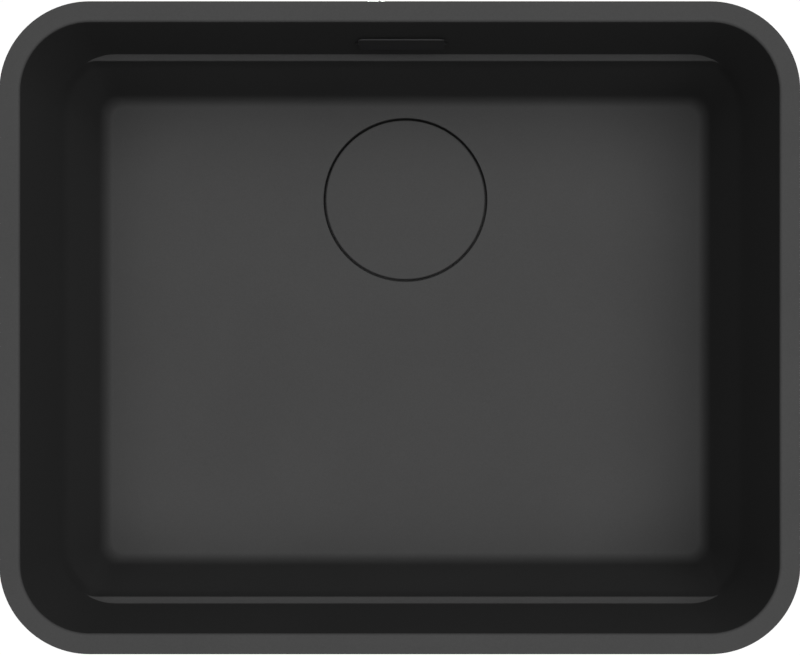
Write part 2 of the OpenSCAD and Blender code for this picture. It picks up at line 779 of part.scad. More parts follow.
// Front plate, parallel to the wall, with four tongues that press in the slot
module overflow_cover() {
    plate_depth = overflow_depth - 4;
    wall_y = mouth_y - lean(plate_depth);
    tongue_w = 8;
    tongue_t = 1.4;
    tongue_z = overflow_slot_h / 2 - 0.3 - tongue_t;
    tongue_x = plate_w / 2 - 12;
    tongue_end = -3;
    plate_back = wall_y - pad_y - plate_gap;
    color("#303031") {
        translate([0, wall_y, -plate_depth]) rotate([-lean_angle, 0, 0])
            along_y(-plate_gap - plate_t, -plate_gap) rounded_plate(plate_w, plate_h, 4);
        at_overflow() for (sx = [-1, 1], sz = [0, 1]) mirror([0, 0, sz])
            translate([sx * tongue_x - tongue_w / 2, plate_back - plate_t / 2, tongue_z])
                cube([tongue_w, tongue_end - plate_back + plate_t / 2, tongue_t]);
    }
}

module overflow_gasket() {
    color("#1b1b1c") at_overflow() along_y(0, gasket_t) difference() {
        rounded_plate(overflow_flange_w, overflow_flange_h, 5);
        slot_outline(overflow_slot_w + 1, overflow_slot_h + 1);
        for (sx = [-1, 1]) translate([sx * overflow_screw_x, 0]) circle(r = overflow_screw_r + 0.3);
    }
}

// Flange, box behind the slot, funnel to the left and hose spigot
module overflow_body() {
    foot = -box_h / 2 - funnel_h;
    flange_back = gasket_t + plastic_t;
    funnel_x = -box_w / 2 + 7;
    funnel_w = box_w * 0.62;
    slice = 1;
    color("#26282a") at_overflow() difference() {
        union() {
            along_y(gasket_t, flange_back) rounded_plate(overflow_flange_w, overflow_flange_h, 5);
            along_y(gasket_t, box_back) rounded_plate(box_w, box_h, 6);
            hull() {
                translate([funnel_x, flange_back, -box_h / 2 + 0.5])
                    cube([funnel_w, box_back - flange_back, slice]);
                translate([-overflow_spigot_x, overflow_spigot_y, foot])
                    cylinder(r = spigot_r + 1.4, h = 2 * slice, $fn = 32);
            }
            translate([-overflow_spigot_x, overflow_spigot_y, foot - spigot_l])
                cylinder(r = spigot_r, h = spigot_l + slice);
        }
        along_y(gasket_t - 1, box_back - box_wall)
            rounded_plate(box_w - 2 * box_wall, box_h - 2 * box_wall, 4);
        hull() {
            translate([funnel_x + box_wall, flange_back + box_wall, -box_h / 2 + box_wall + 0.5])
                cube([funnel_w - 2 * box_wall, box_back - flange_back - 2 * box_wall, slice]);
            translate([-overflow_spigot_x, overflow_spigot_y, foot + 1])
                cylinder(r = spigot_bore_r, h = slice, $fn = 32);
        }
        translate([-overflow_spigot_x, overflow_spigot_y, foot - spigot_l - 1])
            cylinder(r = spigot_bore_r, h = spigot_l + 4);
        for (sx = [-1, 1]) translate([sx * overflow_screw_x, 0, 0])
            along_y(gasket_t - 1, flange_back + 1) circle(r = overflow_screw_r + 0.2);
    }
}

module overflow_screws() {
    head_y = gasket_t + plastic_t;
    color("#a8abad") at_overflow() for (sx = [-1, 1]) translate([sx * overflow_screw_x, 0, 0]) {
        along_y(-5.5, head_y + 0.5) circle(r = overflow_screw_r);
        along_y(head_y, head_y + 2.6) circle(r = 3.8);
    }
}

module overflow_inserts() {
    color("#b8923c") at_overflow() for (sx = [-1, 1]) translate([sx * overflow_screw_x, 0, 0])
        along_y(-6.2, 0) difference() {
            circle(r = overflow_screw_r + 0.8);
            circle(r = overflow_screw_r + fit_gap);
        }
}

// Hose

// The hose's middle line between its two straight cuffs
function hose_point(t) =
    let (u = 1 - t)
    bend_from * pow(u, 3) + (bend_from + top_pull) * 3 * u * u * t
    + (bend_to + bottom_pull) * 3 * u * t * t + bend_to * pow(t, 3);

function unit(v) = v / norm(v);

// Length along the curve against its parameter
curve_steps = 80;
curve_table = [for (i = 0, s = 0; i <= curve_steps;
    s = s + norm(hose_point((i + 1) / curve_steps) - hose_point(i / curve_steps)), i = i + 1)
    [s, i / curve_steps]];
curve_length = curve_table[curve_steps][0];
hose_ribs = floor(curve_length / hose_rib_pitch);
// Square to both ends of the hose, so that no ring twists
hose_side = cross([0, 0, -1], -spigot_way);

function hose_way(t) = unit(hose_point(min(1, t + 0.005)) - hose_point(max(0, t - 0.005)));

function hose_ring(p, way, r) =
    let (a = unit(cross(way, hose_side)), b = cross(way, a))
    [for (i = [0:hose_sides - 1])
        let (turn = 360 * (i + 0.5) / hose_sides) p + r * (cos(turn) * a - sin(turn) * b)];

function curve_ring(s, r) = let (t = lookup(s, curve_table)) hose_ring(hose_point(t), hose_way(t), r);

// Ribbed between two smooth cuffs, with its bore right through
module overflow_hose() {
    down = [0, 0, -1];
    pitch = curve_length / hose_ribs;
    outer = concat(
        [hose_ring(hose_start, down, cuff_r), hose_ring(bend_from, down, cuff_r)],
        [for (k = [0:hose_ribs - 1]) each [
            curve_ring((k + 0.3) * pitch, hose_valley_r), curve_ring((k + 0.7) * pitch, hose_crest_r)]],
        [hose_ring(bend_to, -spigot_way, cuff_r), hose_ring(hose_end, -spigot_way, cuff_r)]
    );
    bore_steps = 24;
    inner = concat(
        [hose_ring(hose_start, down, cuff_bore_r), hose_ring(bend_from + [0, 0, 1], down, cuff_bore_r)],
        [for (k = [0:bore_steps]) curve_ring(curve_length * k / bore_steps, hose_bore_r)],
        [hose_ring(bend_to - spigot_way, -spigot_way, cuff_bore_r),
         hose_ring(hose_end, -spigot_way, cuff_bore_r)]
    );
    n = hose_sides;
    m = len(outer);
    q = len(inner);
    color("#3a3c3e") polyhedron(
        points = [for (r = concat(outer, inner)) each r],
        faces = concat(
            [for (k = [0:m - 2]) each band(n, k)],
            [for (k = [m:m + q - 2]) each band(n, k, true)],
            [for (i = [0:n - 1]) let (j = (i + 1) % n)
                each [[i, m * n + i, m * n + j], [i, m * n + j, j]]],
            [for (i = [0:n - 1])
                let (j = (i + 1) % n, a = (m - 1) * n, b = (m + q - 1) * n)
                each [[a + i, a + j, b + j], [a + i, b + j, b + i]]]
        )
    );
}

// Steel band with its worm screw, on an axis along Z
module hose_clip() {
    band_w = 9;
    band_t = 0.9;
    r = cuff_r + seat_gap;
    color("#b4b7ba") {
        translate([0, 0, -band_w / 2]) linear_extrude(band_w) difference() {
            circle(r = r + band_t);
            circle(r = r);
        }
        translate([r + band_t / 2, -5, -band_w / 2]) cube([4.5, 10, band_w]);
        translate([r + band_t + 1.8, -9, 0]) rotate([-90, 0, 0]) cylinder(r = 2.6, h = 5);
    }
}

module hose_clip_top() {
    translate(hose_start - [0, 0, cuff_l / 2]) rotate(90) hose_clip();
}

module hose_clip_bottom() {
    translate(hose_end + spigot_way * cuff_l / 2) rotate(spigot_turn) rotate([0, 90, 0]) hose_clip();
}

bowl();
rim_inserts();
arm_screws();
arm_washers();
fixing_arm(REAR_LEFT);  // arm_rear_left
fixing_arm(REAR_RIGHT);  // arm_rear_right
fixing_arm(FRONT_LEFT);  // arm_front_left
fixing_arm(FRONT_RIGHT);  // arm_front_right
fixing_arm(LEFT_REAR);  // arm_left_rear
fixing_arm(LEFT_FRONT);  // arm_left_front
fixing_arm(RIGHT_REAR);  // arm_right_rear
fixing_arm(RIGHT_FRONT);  // arm_right_front
drain_cover();
cover_ring();
cover_feet();
basket_cup();
basket_knob();
basket_nut();
basket_seal();
waste_flange();
flange_seal();
centre_screw();
body_seal();
waste_body();
centre_insert();
outlet_seal();
outlet_nut();
outlet_bend();
overflow_cover();
overflow_gasket();
overflow_body();
overflow_screws();
overflow_inserts();
overflow_hose();
hose_clip_top();
hose_clip_bottom();
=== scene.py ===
"""Looks of a single-bowl kitchen sink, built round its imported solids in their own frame.

The origin is the centre of the rim's top face: +X right, +Y to the rear, +Z up. Sizes in the classes are in
millimetres, and every mesh is written in metres.
"""

import logging
from abc import ABC, abstractmethod
from dataclasses import dataclass
from enum import Enum
from functools import lru_cache
from math import asin, atan, atan2, cos, floor, pi, radians, sin, sqrt, tan, tau

import bmesh
import bpy
import numpy as np
from mathutils import Matrix, Vector


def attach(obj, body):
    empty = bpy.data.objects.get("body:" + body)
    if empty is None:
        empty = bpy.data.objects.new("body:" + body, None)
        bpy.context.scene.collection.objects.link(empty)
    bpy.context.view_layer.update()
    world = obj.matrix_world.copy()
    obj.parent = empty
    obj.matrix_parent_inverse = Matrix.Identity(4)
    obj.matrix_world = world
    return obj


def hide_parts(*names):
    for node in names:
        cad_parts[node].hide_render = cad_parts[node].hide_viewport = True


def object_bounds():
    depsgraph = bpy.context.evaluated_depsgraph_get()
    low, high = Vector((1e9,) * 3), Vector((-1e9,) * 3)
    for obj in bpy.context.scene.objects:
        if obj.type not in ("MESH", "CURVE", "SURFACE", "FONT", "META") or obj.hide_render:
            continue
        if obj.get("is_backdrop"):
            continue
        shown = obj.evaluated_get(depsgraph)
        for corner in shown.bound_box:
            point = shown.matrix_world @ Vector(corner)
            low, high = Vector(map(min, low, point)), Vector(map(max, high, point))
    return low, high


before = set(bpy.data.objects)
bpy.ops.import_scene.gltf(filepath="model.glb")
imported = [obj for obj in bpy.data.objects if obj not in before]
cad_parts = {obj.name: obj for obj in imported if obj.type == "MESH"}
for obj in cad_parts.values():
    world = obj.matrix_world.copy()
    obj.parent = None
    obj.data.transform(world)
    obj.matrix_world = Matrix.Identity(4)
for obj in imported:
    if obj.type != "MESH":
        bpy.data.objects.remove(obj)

LOG = logging.getLogger("sink")
MM = 0.001

# Points nearer than these, in metres, become one point: in a new mesh, and after a cut
MERGE = 2e-6
CUT_MERGE = 3e-6

# Edges of a CAD node that turn by more than this, in degrees, are broken
HARD_ANGLE = 32

# Straight steps in a quarter turn of the fillets, of the mouth and of small edges, and sides of small rounds
FILLET_STEPS = 12
MOUTH_STEPS = 6
EDGE_STEPS = 5
SMALL_SIDES = 32

# Sizes that several pieces share: the drain's axis, the walls, and the pad behind the overflow's slot
DRAIN_Y = 105.5
BOWL_DEPTH = 200.0
WALL_LEAN = 5.0
PAD_Y = 214.0
SLOT_DEPTH = 60.0

Point = tuple[float, float, float]
Corner = tuple[float, float, float]
Outline = list[tuple[float, float]]
Ring = np.ndarray
Colour = tuple[float, float, float]
Pivot = tuple[float, float, float, int]

WHITE = (1.0, 1.0, 1.0, 1.0)


class Body(Enum):
    """CAD bodies that the scene's own pieces ride on. The basket's nodes ride on theirs by themselves."""

    SINK = "sink"
    COVER = "cover"
    OVERFLOW_FRONT = "overflow_front"


class Slot(Enum):
    """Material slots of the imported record."""

    COMPOSITE = "composite"
    OVERFLOW_PLASTIC = "overflow_plastic"
    STEEL = "steel"
    ZINC = "zinc_steel"
    BRASS = "insert_brass"
    BLACK_PLASTIC = "black_plastic"
    HOSE_PLASTIC = "hose_plastic"
    RUBBER = "rubber"


class Joining(Enum):
    """How a second solid changes the first."""

    ADD = "UNION"
    TAKE_AWAY = "DIFFERENCE"


# Meshes


def linked(name: str, shape: bmesh.types.BMesh) -> bpy.types.Object:
    """Makes an object of a finished mesh and links it.

    Args:
        name: name of the object and of its mesh.
        shape: its mesh, which is freed here.

    Returns:
        The object.
    """
    mesh = bpy.data.meshes.new(name)
    shape.to_mesh(mesh)
    shape.free()
    piece = bpy.data.objects.new(name, mesh)
    bpy.context.scene.collection.objects.link(piece)
    return piece


def piece_of(name: str, points: np.ndarray, faces: list[tuple[int, ...]]) -> bpy.types.Object:
    """Makes one closed object.

    Args:
        name: name of the piece.
        points: its points in millimetres.
        faces: its faces, as indices of the points.

    Returns:
        The linked object, with doubled points merged and its normals outwards.
    """
    shape = bmesh.new()
    corners = [shape.verts.new(point) for point in np.asarray(points, float) * MM]
    for face in faces:
        shape.faces.new([corners[index] for index in face])
    bmesh.ops.remove_doubles(shape, verts=shape.verts, dist=MERGE)
    bmesh.ops.delete(shape, geom=[edge for edge in shape.edges if not edge.link_faces], context="EDGES")
    bmesh.ops.recalc_face_normals(shape, faces=shape.faces)
    return linked(name, shape)


def loft(name: str, rings: list[Ring], hollow: bool = False) -> bpy.types.Object:
    """Skins a closed solid through rings of equal count.

    Args:
        name: name of the piece.
        rings: the rings, from one end to the other, or round the section where it is hollow.
        hollow: True joins the last ring to the first, and False closes both ends.

    Returns:
        The solid.
    """
    count = len(rings[0])
    last = len(rings)
    bands = last if hollow else last - 1
    faces: list[tuple[int, ...]] = []
    for band in range(bands):
        low = band * count
        high = (band + 1) % last * count
        for i in range(count):
            j = (i + 1) % count
            faces.append((low + i, low + j, high + j, high + i))
    if not hollow:
        faces.append(tuple(range(count)))
        faces.append(tuple(range((last - 1) * count, last * count)))
    return piece_of(name, np.concatenate(rings), faces)


def eased(corners: list[Corner], steps: int = EDGE_STEPS) -> Outline:
    """Rounds the corners of a closed outline.

    Args:
        corners: each corner's two coordinates and its radius.
        steps: straight steps in each rounded corner.

    Returns:
        The points of the outline.
    """
    outline: Outline = []
    for k, (x, y, radius) in enumerate(corners):
        if radius <= 0:
            outline.append((x, y))
            continue
        corner = Vector((x, y))
        before = (Vector(corners[k - 1][:2]) - corner).normalized()
        after = (Vector(corners[(k + 1) % len(corners)][:2]) - corner).normalized()
        half = before.angle(after) / 2
        middle = corner + (before + after).normalized() * radius / sin(half)
        first = corner + before * radius / tan(half) - middle
        last = corner + after * radius / tan(half) - middle
        start = atan2(first.y, first.x)
        turn = (atan2(last.y, last.x) - start + pi) % tau - pi
        for i in range(steps + 1):
            angle = start + turn * i / steps
            outline.append((middle.x + radius * cos(angle), middle.y + radius * sin(angle)))
    return outline


def lathe(name: str, profile: Outline, sides: int = 96) -> bpy.types.Object:
    """Turns a closed profile of radius and height about the Z axis.

    Args:
        name: name of the piece.
        profile: its outline in millimetres.
        sides: flat sides round the axis.

    Returns:
        The solid, on the origin's axis.
    """
    turns = [tau * i / sides for i in range(sides)]
    rings = [np.array([(r * cos(a), r * sin(a), z) for a in turns]) for r, z in profile]
    return loft(name, rings, hollow=True)


def sweep(steps: int) -> list[float]:
    """Angles of a quarter turn in even steps."""
    return [radians(90 / steps * i) for i in range(steps + 1)]


def inset(outline: Outline, by: float) -> np.ndarray:
    """Moves a dense anticlockwise outline inwards along its own normals.

    Args:
        outline: the outline.
        by: how far it moves.

    Returns:
        The points of the smaller outline.
    """
    path = np.array(outline)
    along = np.roll(path, -1, axis=0) - np.roll(path, 1, axis=0)
    along /= np.linalg.norm(along, axis=1)[:, None]
    return path + by * np.column_stack([-along[:, 1], along[:, 0]])


def slab(
    name: str, outline: Outline, low: float, high: float, edge: float, steps: int = 3
) -> bpy.types.Object:
    """Makes a plate whose upper and lower edges are rounded.

    Args:
        name: name of the piece.
        outline: its anticlockwise outline.
        low: height of its underside.
        high: height of its top.
        edge: radius of the two edges.
        steps: straight steps in each edge.

    Returns:
        The plate, square to the Z axis.
    """
    levels = [(edge * (1 - sin(a)), low + edge * (1 - cos(a))) for a in sweep(steps)]
    levels += [(edge * (1 - cos(a)), high - edge * (1 - sin(a))) for a in sweep(steps)]
    rings = [np.column_stack([inset(outline, by), np.full(len(outline), z)]) for by, z in levels]
    return loft(name, rings)


def rounded_box(width: float, height: float, radius: float, steps: int = 6) -> Outline:
    """Outline of a rectangle with round corners, about the origin.

    Args:
        width: its size along X.
        height: its size along Y.
        radius: radius of its corners.
        steps: straight steps in each corner.

    Returns:
        The points of the outline.
    """
    x = width / 2
    y = height / 2
    return eased([(x, -y, radius), (x, y, radius), (-x, y, radius), (-x, -y, radius)], steps)


def regular(sides: int, across: float, corner: float) -> Outline:
    """Outline of a regular polygon, about the origin.

    Args:
        sides: number of its sides.
        across: distance across its flats.
        corner: radius of its corners.

    Returns:
        The points of the outline.
    """
    radius = across / 2 / cos(pi / sides)
    turns = [tau * i / sides for i in range(sides)]
    return eased([(radius * cos(a), radius * sin(a), corner) for a in turns], 2)


def placed(piece: bpy.types.Object, place: Matrix) -> bpy.types.Object:
    """Moves the points of a piece.

    Args:
        piece: the piece.
        place: where it goes, with lengths in millimetres.

    Returns:
        The same piece.
    """
    metres = place.copy()
    metres.translation = place.translation * MM
    piece.data.transform(metres)
    if place.determinant() < 0:
        piece.data.flip_normals()
    return piece


def along_y(at: Point) -> Matrix:
    """Stands a Z axis along +Y, at a point in millimetres."""
    return Matrix.Translation(at) @ Matrix.Rotation(-pi / 2, 4, "X")


def on_drain() -> Matrix:
    """Moves a piece from the origin to the drain's axis."""
    return Matrix.Translation((0, DRAIN_Y, 0))


def merged(name: str, parts: list[bpy.types.Object]) -> bpy.types.Object:
    """Puts separate closed meshes into one object.

    Args:
        name: name of the object.
        parts: the meshes' objects, which are used up.

    Returns:
        The object.
    """
    shape = bmesh.new()
    for part in parts:
        shape.from_mesh(part.data)
        bpy.data.objects.remove(part)
    return linked(name, shape)


def combine(piece: bpy.types.Object, other: bpy.types.Object, how: Joining) -> None:
    """Joins a second solid to a piece, or cuts it away, and removes the second.

    Args:
        piece: the solid that changes.
        other: the solid that is used up.
        how: whether it is added or taken away.
    """
    step = piece.modifiers.new("combine", "BOOLEAN")
    step.operation = how.value
    step.solver = "EXACT"
    step.object = other
    graph = bpy.context.evaluated_depsgraph_get()
    mesh = bpy.data.meshes.new_from_object(piece.evaluated_get(graph))
    shape = bmesh.new()
    shape.from_mesh(mesh)
    bmesh.ops.remove_doubles(shape, verts=shape.verts, dist=CUT_MERGE)
    bmesh.ops.dissolve_degenerate(shape, edges=shape.edges, dist=CUT_MERGE)
    shape.to_mesh(mesh)
    shape.free()
    piece.modifiers.clear()
    piece.data = mesh
    bpy.data.objects.remove(other)


def polish(piece: bpy.types.Object, sharp: float = 25.0) -> None:
    """Smooths the shading of a piece.

    Args:
        piece: the piece.
        sharp: edges that turn by more than this angle in degrees stay sharp.
    """
    piece.data.shade_smooth()
    piece.data.set_sharp_from_angle(angle=radians(sharp))
    even = piece.modifiers.new("even", "WEIGHTED_NORMAL")
    even.keep_sharp = True


def soften(node: str, width: float, segments: int = 2) -> None:
    """Breaks the hard edges of a CAD node without a change to its mesh.

    Args:
        node: name of the CAD node.
        width: width of the broken edge in millimetres.
        segments: steps across it.
    """
    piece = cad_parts[node]
    weld = piece.modifiers.new("weld", "WELD")
    weld.merge_threshold = MERGE
    bevel = piece.modifiers.new("bevel", "BEVEL")
    bevel.width = width * MM
    bevel.segments = segments
    bevel.limit_method = "ANGLE"
    bevel.angle_limit = radians(HARD_ANGLE)
    bevel.use_clamp_overlap = True
    even = piece.modifiers.new("even", "WEIGHTED_NORMAL")
    even.weight = 100


# Nodes


class Wiring:
    """Adds nodes to one tree and joins them."""

    def __init__(self, tree: bpy.types.NodeTree) -> None:
        """Keeps the tree."""
        self.tree = tree

    def add(
        self, kind: str, sockets: dict[str | int, object] | None = None, **settings: object
    ) -> bpy.types.Node:
        """Adds a node.

        Args:
            kind: the node's type, without its common prefix.
            sockets: for each input a value, or the output that feeds it.
            **settings: the node's own settings.

        Returns:
            The node.
        """
        node = self.tree.nodes.new("ShaderNode" + kind)
        for key, value in settings.items():
            setattr(node, key, value)
        for key, value in (sockets or {}).items():
            if isinstance(value, bpy.types.NodeSocket):
                self.tree.links.new(value, node.inputs[key])
            else:
                node.inputs[key].default_value = value
        return node

    def maths(self, operation: str, first: object, second: object = 0.0) -> bpy.types.NodeSocket:
        """Result of one sum on two values."""
        return self.add("Math", {0: first, 1: second}, operation=operation).outputs[0]

    def noise(
        self, vector: object, scale: object, detail: float, roughness: float = 0.5
    ) -> bpy.types.NodeSocket:
        """Value of a smooth noise."""
        sockets = {"Vector": vector, "Scale": scale, "Detail": detail, "Roughness": roughness}
        return self.add("TexNoise", sockets).outputs[0]

    def spread(
        self, value: object, low: float, high: float, to_low: object, to_high: object
    ) -> bpy.types.NodeSocket:
        """Maps a value from one range to another and keeps it inside."""
        sockets = {0: value, 1: low, 2: high, 3: to_low, 4: to_high}
        return self.add("MapRange", sockets).outputs[0]

    def weigh(
        self, first: bpy.types.NodeSocket, second: bpy.types.NodeSocket, share: float
    ) -> bpy.types.NodeSocket:
        """Mean of two values, in which the first has the given share."""
        part = self.maths("MULTIPLY", first, share)
        return self.maths("ADD", part, self.maths("MULTIPLY", second, 1 - share))


def blank(owner: bpy.types.Material | bpy.types.World) -> Wiring:
    """Empties the nodes of a material or of the world.

    Args:
        owner: the material or the world.

    Returns:
        Its empty tree.
    """
    owner.use_nodes = True
    owner.node_tree.nodes.clear()
    return Wiring(owner.node_tree)


class Effect:
    """A shader node group with named inputs and outputs."""

    def __init__(self, name: str, inputs: dict[str, object], outputs: list[str]) -> None:
        """Opens the group.

        Args:
            name: name of the group.
            inputs: for each input its first value; a vector where that is a tuple.
            outputs: names of the values that it gives.
        """
        self.group = bpy.data.node_groups.new(name, "ShaderNodeTree")
        for label, value in inputs.items():
            kind = "NodeSocketVector" if isinstance(value, tuple) else "NodeSocketFloat"
            socket = self.group.interface.new_socket(label, in_out="INPUT", socket_type=kind)
            socket.default_value = value
        for label in outputs:
            self.group.interface.new_socket(label, in_out="OUTPUT", socket_type="NodeSocketFloat")
        self.wiring = Wiring(self.group)
        self.inputs = self.group.nodes.new("NodeGroupInput").outputs
        self.outputs = self.group.nodes.new("NodeGroupOutput").inputs

    def give(self, label: str, value: bpy.types.NodeSocket) -> None:
        """Sends a value to a named output."""
        self.group.links.new(value, self.outputs[label])


@lru_cache(maxsize=None)
def speckle() -> bpy.types.NodeTree:
    """Grains of filler in a resin: a tone for each grain, and the height of the skin over them.

    Returns:
        The group, whose Size is a grain's width in metres.
    """
    effect = Effect("speckle", {"Vector": (0.0, 0.0, 0.0), "Size": 0.0006}, ["Tone", "Height"])
    wiring = effect.wiring
    scale = wiring.maths("DIVIDE", 1.0, effect.inputs["Size"])
    sockets = {"Vector": effect.inputs["Vector"], "Scale": scale, "Randomness": 1.0}
    cells = wiring.add("TexVoronoi", sockets)
    pick = wiring.add("SeparateColor", {0: cells.outputs["Color"]})
    skin_scale = wiring.maths("MULTIPLY", scale, 0.55)
    skin = wiring.noise(effect.inputs["Vector"], skin_scale, detail=3.0)
    bumps = wiring.maths("MULTIPLY", cells.outputs["Distance"], 0.25)
    effect.give("Tone", pick.outputs[0])
    effect.give("Height", wiring.maths("ADD", skin, bumps))
    return effect.group


@lru_cache(maxsize=None)
def mottle() -> bpy.types.NodeTree:
    """Slow clouds of tone, such as handling and flow leave on a moulding.

    Returns:
        The group, whose Size is a cloud's width in metres.
    """
    effect = Effect("mottle", {"Vector": (0.0, 0.0, 0.0), "Size": 0.05}, ["Cloud"])
    wiring = effect.wiring
    scale = wiring.maths("DIVIDE", 1.0, effect.inputs["Size"])
    cloud = wiring.noise(effect.inputs["Vector"], scale, detail=4.0, roughness=0.55)
    effect.give("Cloud", wiring.spread(cloud, 0.3, 0.7, 0.0, 1.0))
    return effect.group


@lru_cache(maxsize=None)
def turning() -> bpy.types.NodeTree:
    """Fine rings that turning or spinning leaves round an upright axis.

    Returns:
        The group, whose Centre is a point of the axis and whose Pitch is the rings' spacing in metres.
    """
    inputs = {"Vector": (0.0, 0.0, 0.0), "Centre": (0.0, 0.0, 0.0), "Pitch": 0.0004}
    effect = Effect("turning", inputs, ["Line"])
    wiring = effect.wiring
    sockets = {0: effect.inputs["Vector"], 1: effect.inputs["Centre"]}
    arm = wiring.add("VectorMath", sockets, operation="SUBTRACT").outputs[0]
    flat = wiring.add("VectorMath", {0: arm, 1: (1.0, 1.0, 0.0)}, operation="MULTIPLY").outputs[0]
    radius = wiring.add("VectorMath", {0: flat}, operation="LENGTH").outputs["Value"]
    height = wiring.add("SeparateXYZ", {0: arm}).outputs[2]
    place = wiring.add("CombineXYZ", {0: radius, 1: height}).outputs[0]
    scale = wiring.maths("DIVIDE", 1.0, effect.inputs["Pitch"])
    effect.give("Line", wiring.noise(place, scale, detail=2.0, roughness=0.6))
    return effect.group


@lru_cache(maxsize=None)
def dimples() -> bpy.types.NodeTree:
    """Spark-eroded skin of a moulded plastic.

    Returns:
        The group, whose Size is a dimple's width in metres.
    """
    effect = Effect("dimples", {"Vector": (0.0, 0.0, 0.0), "Size": 0.0005}, ["Height"])
    wiring = effect.wiring
    scale = wiring.maths("DIVIDE", 1.0, effect.inputs["Size"])
    skin = wiring.noise(effect.inputs["Vector"], scale, detail=2.0, roughness=0.55)
    effect.give("Height", skin)
    return effect.group


# Finishes


@dataclass(frozen=True)
class Finish(ABC):
    """A surface finish that becomes one material. Its lengths are in metres."""

    name: str
    slot: Slot
    dark: Colour
    light: Colour
    smooth: float
    rough: float
    cloud: float
    relief_strength: float
    relief_depth: float

    @abstractmethod
    def wire(self, wiring: Wiring, place: bpy.types.NodeSocket) -> bpy.types.Node:
        """Builds the finish.

        Args:
            wiring: the material's tree.
            place: the surface point in metres.

        Returns:
            The Principled shader.
        """

    def effect(self, wiring: Wiring, group: bpy.types.NodeTree, **sockets: object) -> bpy.types.Node:
        """Places an effect group with its own values."""
        return wiring.add("Group", sockets, node_tree=group)

    def clouds(self, wiring: Wiring, place: bpy.types.NodeSocket) -> bpy.types.NodeSocket:
        """Slow clouds of the finish's own size."""
        return self.effect(wiring, mottle(), Vector=place, Size=self.cloud).outputs["Cloud"]

    def blend(self, wiring: Wiring, tone: bpy.types.NodeSocket) -> bpy.types.NodeSocket:
        """Colour between the finish's dark and light.

        Args:
            wiring: the material's tree.
            tone: 0 for the dark colour and 1 for the light one.

        Returns:
            The colour.
        """
        mix = wiring.add("Mix", data_type="RGBA")
        mix.inputs["A"].default_value = (*self.dark, 1.0)
        mix.inputs["B"].default_value = (*self.light, 1.0)
        wiring.tree.links.new(tone, mix.inputs["Factor"])
        return next(socket for socket in mix.outputs if socket.type == "RGBA")

    def shader(
        self,
        wiring: Wiring,
        tone: bpy.types.NodeSocket,
        gloss: bpy.types.NodeSocket,
        height: bpy.types.NodeSocket,
        levels: dict[str, float],
    ) -> bpy.types.Node:
        """Makes the Principled shader.

        Args:
            wiring: the material's tree.
            tone: 0 for the dark colour and 1 for the light one.
            gloss: 0 for the smooth value and 1 for the rough one.
            height: height of the relief.
            levels: the shader's constant values.

        Returns:
            The shader.
        """
        relief = {"Height": height, "Strength": self.relief_strength, "Distance": self.relief_depth}
        sockets = {
            "Base Color": self.blend(wiring, tone),
            "Roughness": wiring.spread(gloss, 0.0, 1.0, self.smooth, self.rough),
            "Normal": wiring.add("Bump", relief).outputs[0],
        }
        return wiring.add("BsdfPrincipled", sockets | levels)

    def material(self) -> bpy.types.Material:
        """Makes the material of this finish, once.

        Returns:
            The material.
        """
        found = bpy.data.materials.get(self.name)
        if found:
            return found
        material = bpy.data.materials.new(self.name)
        wiring = blank(material)
        place = wiring.add("TexCoord").outputs["Object"]
        shader = self.wire(wiring, place)
        wiring.add("OutputMaterial", {"Surface": shader.outputs[0]})
        return material


@dataclass(frozen=True)
class Composite(Finish):
    """Matt mineral composite: resin with fine filler, faintly clouded."""

    cloud: float = 0.09
    relief_strength: float = 0.12
    relief_depth: float = 0.0002
    grain: float = 0.0007
    grain_share: float = 0.55
    sheen_level: float = 0.009

    def wire(self, wiring: Wiring, place: bpy.types.NodeSocket) -> bpy.types.Node:
        """Builds fine grains over slow clouds.

        Args:
            wiring: the material's tree.
            place: the surface point in metres.

        Returns:
            The Principled shader.
        """
        grains = self.effect(wiring, speckle(), Vector=place, Size=self.grain).outputs
        clouds = self.clouds(wiring, place)
        tone = wiring.weigh(grains["Tone"], clouds, self.grain_share)
        return self.shader(wiring, tone, clouds, grains["Height"], {"Specular IOR Level": self.sheen_level})


@dataclass(frozen=True)
class Moulding(Finish):
    """Injection-moulded plastic with a fine eroded skin."""

    cloud: float = 0.03
    relief_strength: float = 0.18
    relief_depth: float = 0.0002
    dimple: float = 0.0006
    sheen_level: float = 0.3

    def wire(self, wiring: Wiring, place: bpy.types.NodeSocket) -> bpy.types.Node:
        """Builds dimples under slow clouds of gloss.

        Args:
            wiring: the material's tree.
            place: the surface point in metres.

        Returns:
            The Principled shader.
        """
        skin = self.effect(wiring, dimples(), Vector=place, Size=self.dimple).outputs
        clouds = self.clouds(wiring, place)
        return self.shader(wiring, clouds, clouds, skin["Height"], {"Specular IOR Level": self.sheen_level})


@dataclass(frozen=True)
class Spun(Finish):
    """Metal that was turned or spun about the drain's axis."""

    cloud: float = 0.02
    relief_strength: float = 0.08
    relief_depth: float = 0.00005
    centre: Point = (0.0, DRAIN_Y * MM, 0.0)
    pitch: float = 0.0004
    ring_share: float = 0.8

    def wire(self, wiring: Wiring, place: bpy.types.NodeSocket) -> bpy.types.Node:
        """Builds fine rings over slow clouds.

        Args:
            wiring: the material's tree.
            place: the surface point in metres.

        Returns:
            The Principled shader.
        """
        rings = self.effect(wiring, turning(), Vector=place, Centre=self.centre, Pitch=self.pitch).outputs
        tone = wiring.weigh(rings["Line"], self.clouds(wiring, place), self.ring_share)
        return self.shader(wiring, tone, tone, rings["Line"], {"Metallic": 1.0})


